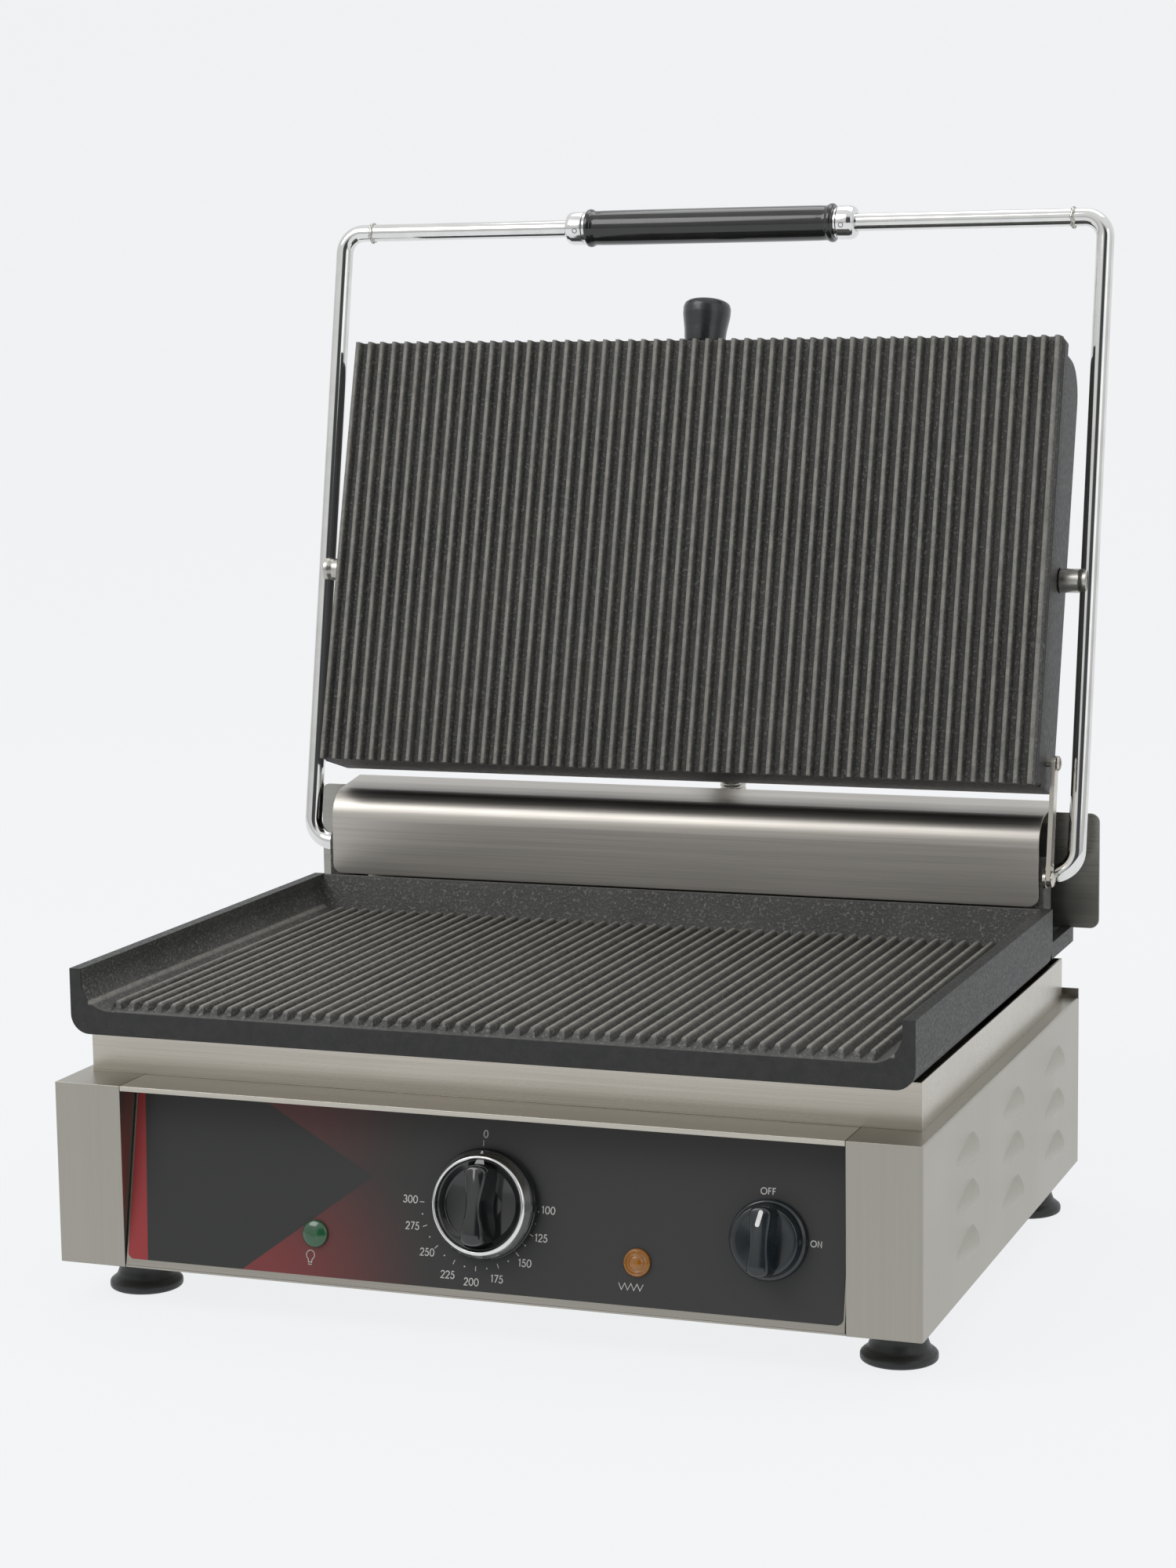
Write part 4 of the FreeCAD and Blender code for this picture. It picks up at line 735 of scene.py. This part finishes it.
def fin_outline(half_width, half_length, waist, height):
    """A rounded bar in plan, pinched at its middle by `waist`."""
    steps = 14
    outline = []
    for end in (1, -1):
        for step in range(steps + 1):
            angle = math.radians(-90 + 180 * step / steps)
            x = -end * half_width * math.sin(angle)
            y = end * (half_length - half_width * 0.55 + half_width * 0.55 * math.cos(angle))
            outline.append((x, y, height))
        flank = half_length - half_width * 0.55
        for step in range(1, 12):
            along = flank * (1 - 2 * step / 12)
            pinch = waist * math.cos(math.pi * along / (2 * flank)) ** 2
            outline.append((-end * (half_width - pinch), end * along, height))
    return outline


fin_levels = [(7.2, 9.6, 24.6, 2.0), (11.0, 8.6, 24.3, 3.0), (16.0, 7.6, 23.8, 3.0),
              (19.6, 7.1, 23.2, 2.6), (21.2, 6.4, 22.6, 2.2), (22.0, 5.0, 21.4, 1.6)]
points, faces = stack_data([fin_outline(w, l, p, h) for h, w, l, p in fin_levels])
make_mesh("thermostat_knob_fin", points, faces, DIAL, knob_black, "dial")
pointer = [(-3.0, 23.6), (3.0, 23.6), (0.4, 31.3), (-0.4, 31.3)]
points, faces = stack_data([[(x, y, z - (y - 27.5) * 0.95 if y > 30 else z) for x, y in pointer]
                            for z in (10.4, 14.3)])
make_mesh("thermostat_pointer", points, faces, DIAL, knob_black, "dial", (), False)

# ---------------------------------------------------------------- switch knob
SWITCH = on_panel(178.5, 48.5, 1.1)
BODY = rounded([(0, -29), (3, -29), (3, 0), (22.8, 0), (23.4, 0.8), (22.6, 2.6), (20.8, 3.6),
                (20.4, 8.5), (19.4, 10.4), (17, 10.6), (8, 9.4), (0, 9.2)], 0.8, 4)
lathe("switch_knob_body", BODY, SWITCH, switch_black, "selector", ("switch_knob",), 80)
fin_levels = [(8.4, 8.2, 20.3, 1.0), (12.0, 7.6, 20.2, 1.6), (16.0, 7.0, 20.0, 1.5),
              (19.0, 6.4, 19.8, 1.2), (20.4, 5.7, 19.2, 1.0), (21.0, 4.6, 18.2, 0.8)]
points, faces = stack_data([fin_outline(w, l, p, h) for h, w, l, p in fin_levels])
make_mesh("switch_knob_fin", points, faces, SWITCH, switch_black, "selector")
mark = []
for end in (1, -1):
    for step in range(9):
        angle = math.radians(-90 + 180 * step / 8)
        x, y = -end * 1.3 * math.sin(angle), end * (3.6 + 1.3 * math.cos(angle))
        mark.append((x * cos_d(14) + y * sin_d(14), 13.2 + y * cos_d(14) - x * sin_d(14)))
points, faces = stack_data([[(x, y, z) for x, y in mark] for z in (20.4, 21.2)])
make_mesh("switch_indicator", points, faces, SWITCH, print_white, "selector", (), False)

# ----------------------------------------------------------------------- lamps
LENS = rounded([(0, -24), (5.5, -24), (5.5, 0), (8.2, 0), (8.2, 1.1), (7.5, 2.1), (6.9, 2.2),
                (6.5, 1.7), (5.9, 2.3), (5.2, 3.0), (4.7, 2.5), (4.1, 3.0), (3.4, 3.6),
                (1.5, 4.0), (0, 4.1)], 0.35, 3)
SMOOTH_LENS = rounded([(0, -24), (5.5, -24), (5.5, 0), (8.2, 0), (8.2, 1.2), (7.4, 2.2),
                       (5.0, 3.4), (2.5, 4.0), (0, 4.1)], 0.8, 4)
for lamp_name, across, look in (("green_lamp", -101.0, green_glass),
                                ("amber_lamp", 101.0, amber_glass)):
    lathe(f"{lamp_name}_lens", LENS if look is amber_glass else SMOOTH_LENS,
          on_panel(across, 29.0, 0.5), look, "base", (lamp_name,), 56)

# ---------------------------------------------------------- printed dial marks


def bow(cx, cy, rx, ry, start, end, steps=14):
    return [(cx + rx * cos_d(start + (end - start) * i / steps),
             cy + ry * sin_d(start + (end - start) * i / steps)) for i in range(steps + 1)]


GLYPHS = {
    "0": (0.62, [bow(0.31, 0.5, 0.27, 0.46, 90, 450, 28)]),
    "1": (0.34, [[(0.02, 0.80), (0.20, 0.96), (0.20, 0.04)]]),
    "2": (0.56, [bow(0.27, 0.70, 0.23, 0.26, 170, -35) + [(0.04, 0.04), (0.52, 0.04)]]),
    "3": (0.54, [bow(0.25, 0.73, 0.20, 0.23, 160, -90),
                 bow(0.25, 0.27, 0.24, 0.23, 90, -165)]),
    "5": (0.56, [[(0.48, 0.96), (0.18, 0.96), (0.10, 0.56)] +
                 bow(0.25, 0.33, 0.25, 0.29, 125, -160)]),
    "7": (0.54, [[(0.03, 0.96), (0.50, 0.96), (0.16, 0.04)]]),
    "O": (0.98, [bow(0.48, 0.5, 0.44, 0.46, 90, 450, 28)]),
    "F": (0.54, [[(0.10, 0.04), (0.10, 0.96), (0.50, 0.96)], [(0.10, 0.54), (0.44, 0.54)]]),
    "N": (0.78, [[(0.10, 0.04), (0.10, 0.96), (0.64, 0.04), (0.64, 0.96)]]),
}
PRINT_OUT = 0.5


def stroke_data(line, width):
    """A flat ribbon along a 2-D line, raised just clear of the film."""
    points, faces = [], []
    for index, (x, y) in enumerate(line):
        ahead = Vector(line[min(index + 1, len(line) - 1)])
        behind = Vector(line[max(index - 1, 0)])
        here = Vector((x, y))
        first = (here - behind).normalized() if index else (ahead - here).normalized()
        second = (ahead - here).normalized() if index < len(line) - 1 else first
        way = (first + second).normalized() if (first + second).length > 0.2 else second
        side = Vector((-way.y, way.x))
        stretch = 1 / max(0.5, abs(side.dot(Vector((-second.y, second.x)))))
        for sign in (-1, 1):
            for height in (0.02, 0.07):
                spot = here + side * (sign * width / 2 * stretch)
                points.append((spot.x, spot.y, height))
    for index in range(len(line) - 1):
        a, b = index * 4, index * 4 + 4
        for one, two in ((1, 3), (3, 2), (2, 0), (0, 1)):
            faces.append((a + one, b + one, b + two, a + two))
    last = (len(line) - 1) * 4
    faces.append((0, 2, 3, 1))
    faces.append((last + 1, last + 3, last + 2, last))
    return points, faces


def text_lines(text, centre, height):
    """The strokes of a short text, centred on a panel place."""
    width = (sum(GLYPHS[c][0] for c in text) + 0.12 * (len(text) - 1)) * height
    x = centre[0] - width / 2
    lines = []
    for character in text:
        advance, strokes = GLYPHS[character]
        for stroke in strokes:
            lines.append([(x + px * height, centre[1] + (py - 0.5) * height)
                          for px, py in stroke])
        x += (advance + 0.12) * height
    return lines


DIAL_X, DIAL_UP = 2.0, 53.0
marks = []
FIGURES = {"0": (3.8, 95.4), "100": (45.2, 54.3), "125": (41.6, 38.0), "150": (32.4, 22.8),
           "175": (15.6, 12.2), "200": (-0.3, 9.2), "225": (-15.3, 12.2), "250": (-29.0, 24.1),
           "275": (-39.2, 38.7), "300": (-41.4, 54.1)}
for text, centre in FIGURES.items():
    marks += [(line, 0.6) for line in text_lines(text, centre, 4.5)]
for number in range(9):
    angle = 90 - (90 + 22.5 * number)
    marks.append(([(DIAL_X + r * cos_d(angle), DIAL_UP + r * sin_d(angle))
                   for r in (34.6, 37.4)], 0.45))
    if number < 8:
        angle -= 11.25
        marks.append(([(DIAL_X + r * cos_d(angle), DIAL_UP + r * sin_d(angle))
                       for r in (35.6, 36.4)], 0.8))
marks.append(([(DIAL_X + 0.6, DIAL_UP + 35.2), (DIAL_X + 0.6, DIAL_UP + 38.6)], 0.4))
marks += [(line, 0.6) for line in text_lines("OFF", (176.7, 75.6), 3.9)]
marks += [(line, 0.6) for line in text_lines("ON", (206.4, 48.3), 3.7)]
zigzag = [(97.8 - 7.5 + i * 15 / 8, 14.9 + (1.9 if i % 2 == 0 else -1.9)) for i in range(9)]
marks.append((zigzag, 0.45))
bulb = bow(-103.5, 16.2, 2.6, 2.8, -62, 242, 24)
marks.append(([(-102.5, 11.6)] + bulb + [(-104.5, 11.6)], 0.4))
marks.append(([(-104.9, 12.0), (-102.1, 12.0)], 0.4))
marks.append(([(-104.7, 10.7), (-102.3, 10.7)], 0.4))
points, faces = merge_data([stroke_data(line, width) for line, width in marks])
make_mesh("dial_figures", points, faces, on_panel(0, 0, PRINT_OUT), print_light, "base", (),
          False)

# ------------------------------------------------- stage, lights and the camera
COVE_HALF, COVE_FRONT, COVE_BACK, COVE_BEND, COVE_TOP = 14.0, -9.0, 3.0, 2.5, 9.0
backdrop = []
for x in (-COVE_HALF, COVE_HALF):
    row = [(x, COVE_FRONT, 0), (x, COVE_BACK, 0)]
    row += [(x, COVE_BACK + COVE_BEND * sin_d(a), COVE_BEND - COVE_BEND * cos_d(a))
            for a in range(10, 91, 10)]
    row += [(x, COVE_BACK + COVE_BEND, COVE_TOP)]
    backdrop.append(row)
count = len(backdrop[0])
cove_mesh = bpy.data.meshes.new("cove")
cove_mesh.from_pydata(backdrop[0] + backdrop[1], [],
                      [(i, i + 1, count + i + 1, count + i) for i in range(count - 1)])
cove = bpy.data.objects.new("cove", cove_mesh)
bpy.context.scene.collection.objects.link(cove)
for polygon in cove_mesh.polygons:
    polygon.use_smooth = True
paper = bpy.data.materials.new("backdrop_paper")
paper.use_nodes = True
tree = paper.node_tree
output = tree.nodes["Material Output"]
shade = tree.nodes["Principled BSDF"]
shade.inputs["Base Color"].default_value = (0.80, 0.81, 0.83, 1)
shade.inputs["Roughness"].default_value = 0.9
shade.inputs["Specular IOR Level"].default_value = 0.1
lit = tree.nodes.new("ShaderNodeEmission")
lit.inputs["Color"].default_value = (0.885, 0.896, 0.912, 1)
lit.inputs["Strength"].default_value = 1.01
blend_node = tree.nodes.new("ShaderNodeMixShader")
blend_node.inputs["Fac"].default_value = 0.92
tree.links.new(shade.outputs[0], blend_node.inputs[1])
tree.links.new(lit.outputs[0], blend_node.inputs[2])
tree.links.new(blend_node.outputs[0], output.inputs["Surface"])
cove_mesh.materials.append(paper)

world = bpy.data.worlds.new("studio")
bpy.context.scene.world = world
world.use_nodes = True
tree = world.node_tree
coordinates = tree.nodes.new("ShaderNodeTexCoord")
split = tree.nodes.new("ShaderNodeSeparateXYZ")
ramp = tree.nodes.new("ShaderNodeValToRGB")
tree.links.new(coordinates.outputs["Generated"], split.inputs[0])
rescale = tree.nodes.new("ShaderNodeMapRange")
rescale.inputs["From Min"].default_value = -1
tree.links.new(split.outputs["Z"], rescale.inputs["Value"])
tree.links.new(rescale.outputs[0], ramp.inputs["Fac"])
stops = ramp.color_ramp.elements
stops[0].position, stops[0].color = 0.45, (0.50, 0.50, 0.50, 1)
stops[1].position, stops[1].color = 1.0, (1.0, 1.0, 1.0, 1)
middle = ramp.color_ramp.elements.new(0.62)
middle.color = (0.82, 0.82, 0.81, 1)
toward = tree.nodes.new("ShaderNodeVectorMath")
toward.operation = "DOT_PRODUCT"
tree.links.new(coordinates.outputs["Generated"], toward.inputs[0])
toward.inputs[1].default_value = (0.30, -0.93, 0.20)
patch = tree.nodes.new("ShaderNodeMapRange")
patch.interpolation_type = "SMOOTHSTEP"
patch.inputs["From Min"].default_value = 0.86
patch.inputs["From Max"].default_value = 0.955
tree.links.new(toward.outputs["Value"], patch.inputs["Value"])
room = tree.nodes.new("ShaderNodeMix")
room.data_type = "RGBA"
tree.links.new(patch.outputs[0], room.inputs["Factor"])
tree.links.new(ramp.outputs["Color"], room.inputs[6])
room.inputs[7].default_value = (0.07, 0.075, 0.08, 1)
tree.links.new(room.outputs[2], tree.nodes["Background"].inputs["Color"])
tree.nodes["Background"].inputs["Strength"].default_value = 0.9


def area_light(name, place, target, size, power):
    data = bpy.data.lights.new(name, "AREA")
    data.shape = "RECTANGLE"
    data.size, data.size_y = size
    data.energy = power
    light = bpy.data.objects.new(name, data)
    light.location = place
    way = Vector(target) - Vector(place)
    light.rotation_euler = way.to_track_quat("-Z", "Y").to_euler()
    bpy.context.scene.collection.objects.link(light)


area_light("key", (-1.6, -1.8, 2.6), (0, 0, 0.25), (2.2, 1.6), 38)
area_light("fill", (2.6, -1.6, 1.6), (0, 0, 0.3), (1.8, 1.8), 5)
area_light("top", (0.2, 0.9, 3.0), (0, 0, 0.3), (2.6, 1.4), 22)

CAMERA_AZIMUTH, CAMERA_ELEVATION, CAMERA_ROLL = 20.22, 8.18, -0.80
CAMERA_PLACE = Vector((0.7119, -1.9591, 0.5955))
CAMERA_LENS, CAMERA_SENSOR = 75.9618, 36
back = Vector((sin_d(CAMERA_AZIMUTH) * cos_d(CAMERA_ELEVATION),
               -cos_d(CAMERA_AZIMUTH) * cos_d(CAMERA_ELEVATION), sin_d(CAMERA_ELEVATION)))
right = Vector((cos_d(CAMERA_AZIMUTH), sin_d(CAMERA_AZIMUTH), 0))
up = back.cross(right)
right, up = (right * cos_d(CAMERA_ROLL) + up * sin_d(CAMERA_ROLL),
             up * cos_d(CAMERA_ROLL) - right * sin_d(CAMERA_ROLL))
camera_data = bpy.data.cameras.new("camera")
camera_data.lens = CAMERA_LENS
camera_data.sensor_width = CAMERA_SENSOR
camera_data.clip_end = 50
camera = bpy.data.objects.new("camera", camera_data)
camera.matrix_world = Matrix(((right.x, up.x, back.x, CAMERA_PLACE.x),
                              (right.y, up.y, back.y, CAMERA_PLACE.y),
                              (right.z, up.z, back.z, CAMERA_PLACE.z), (0, 0, 0, 1)))
bpy.context.scene.collection.objects.link(camera)
bpy.context.scene.camera = camera
bpy.context.scene.view_settings.view_transform = "Standard"
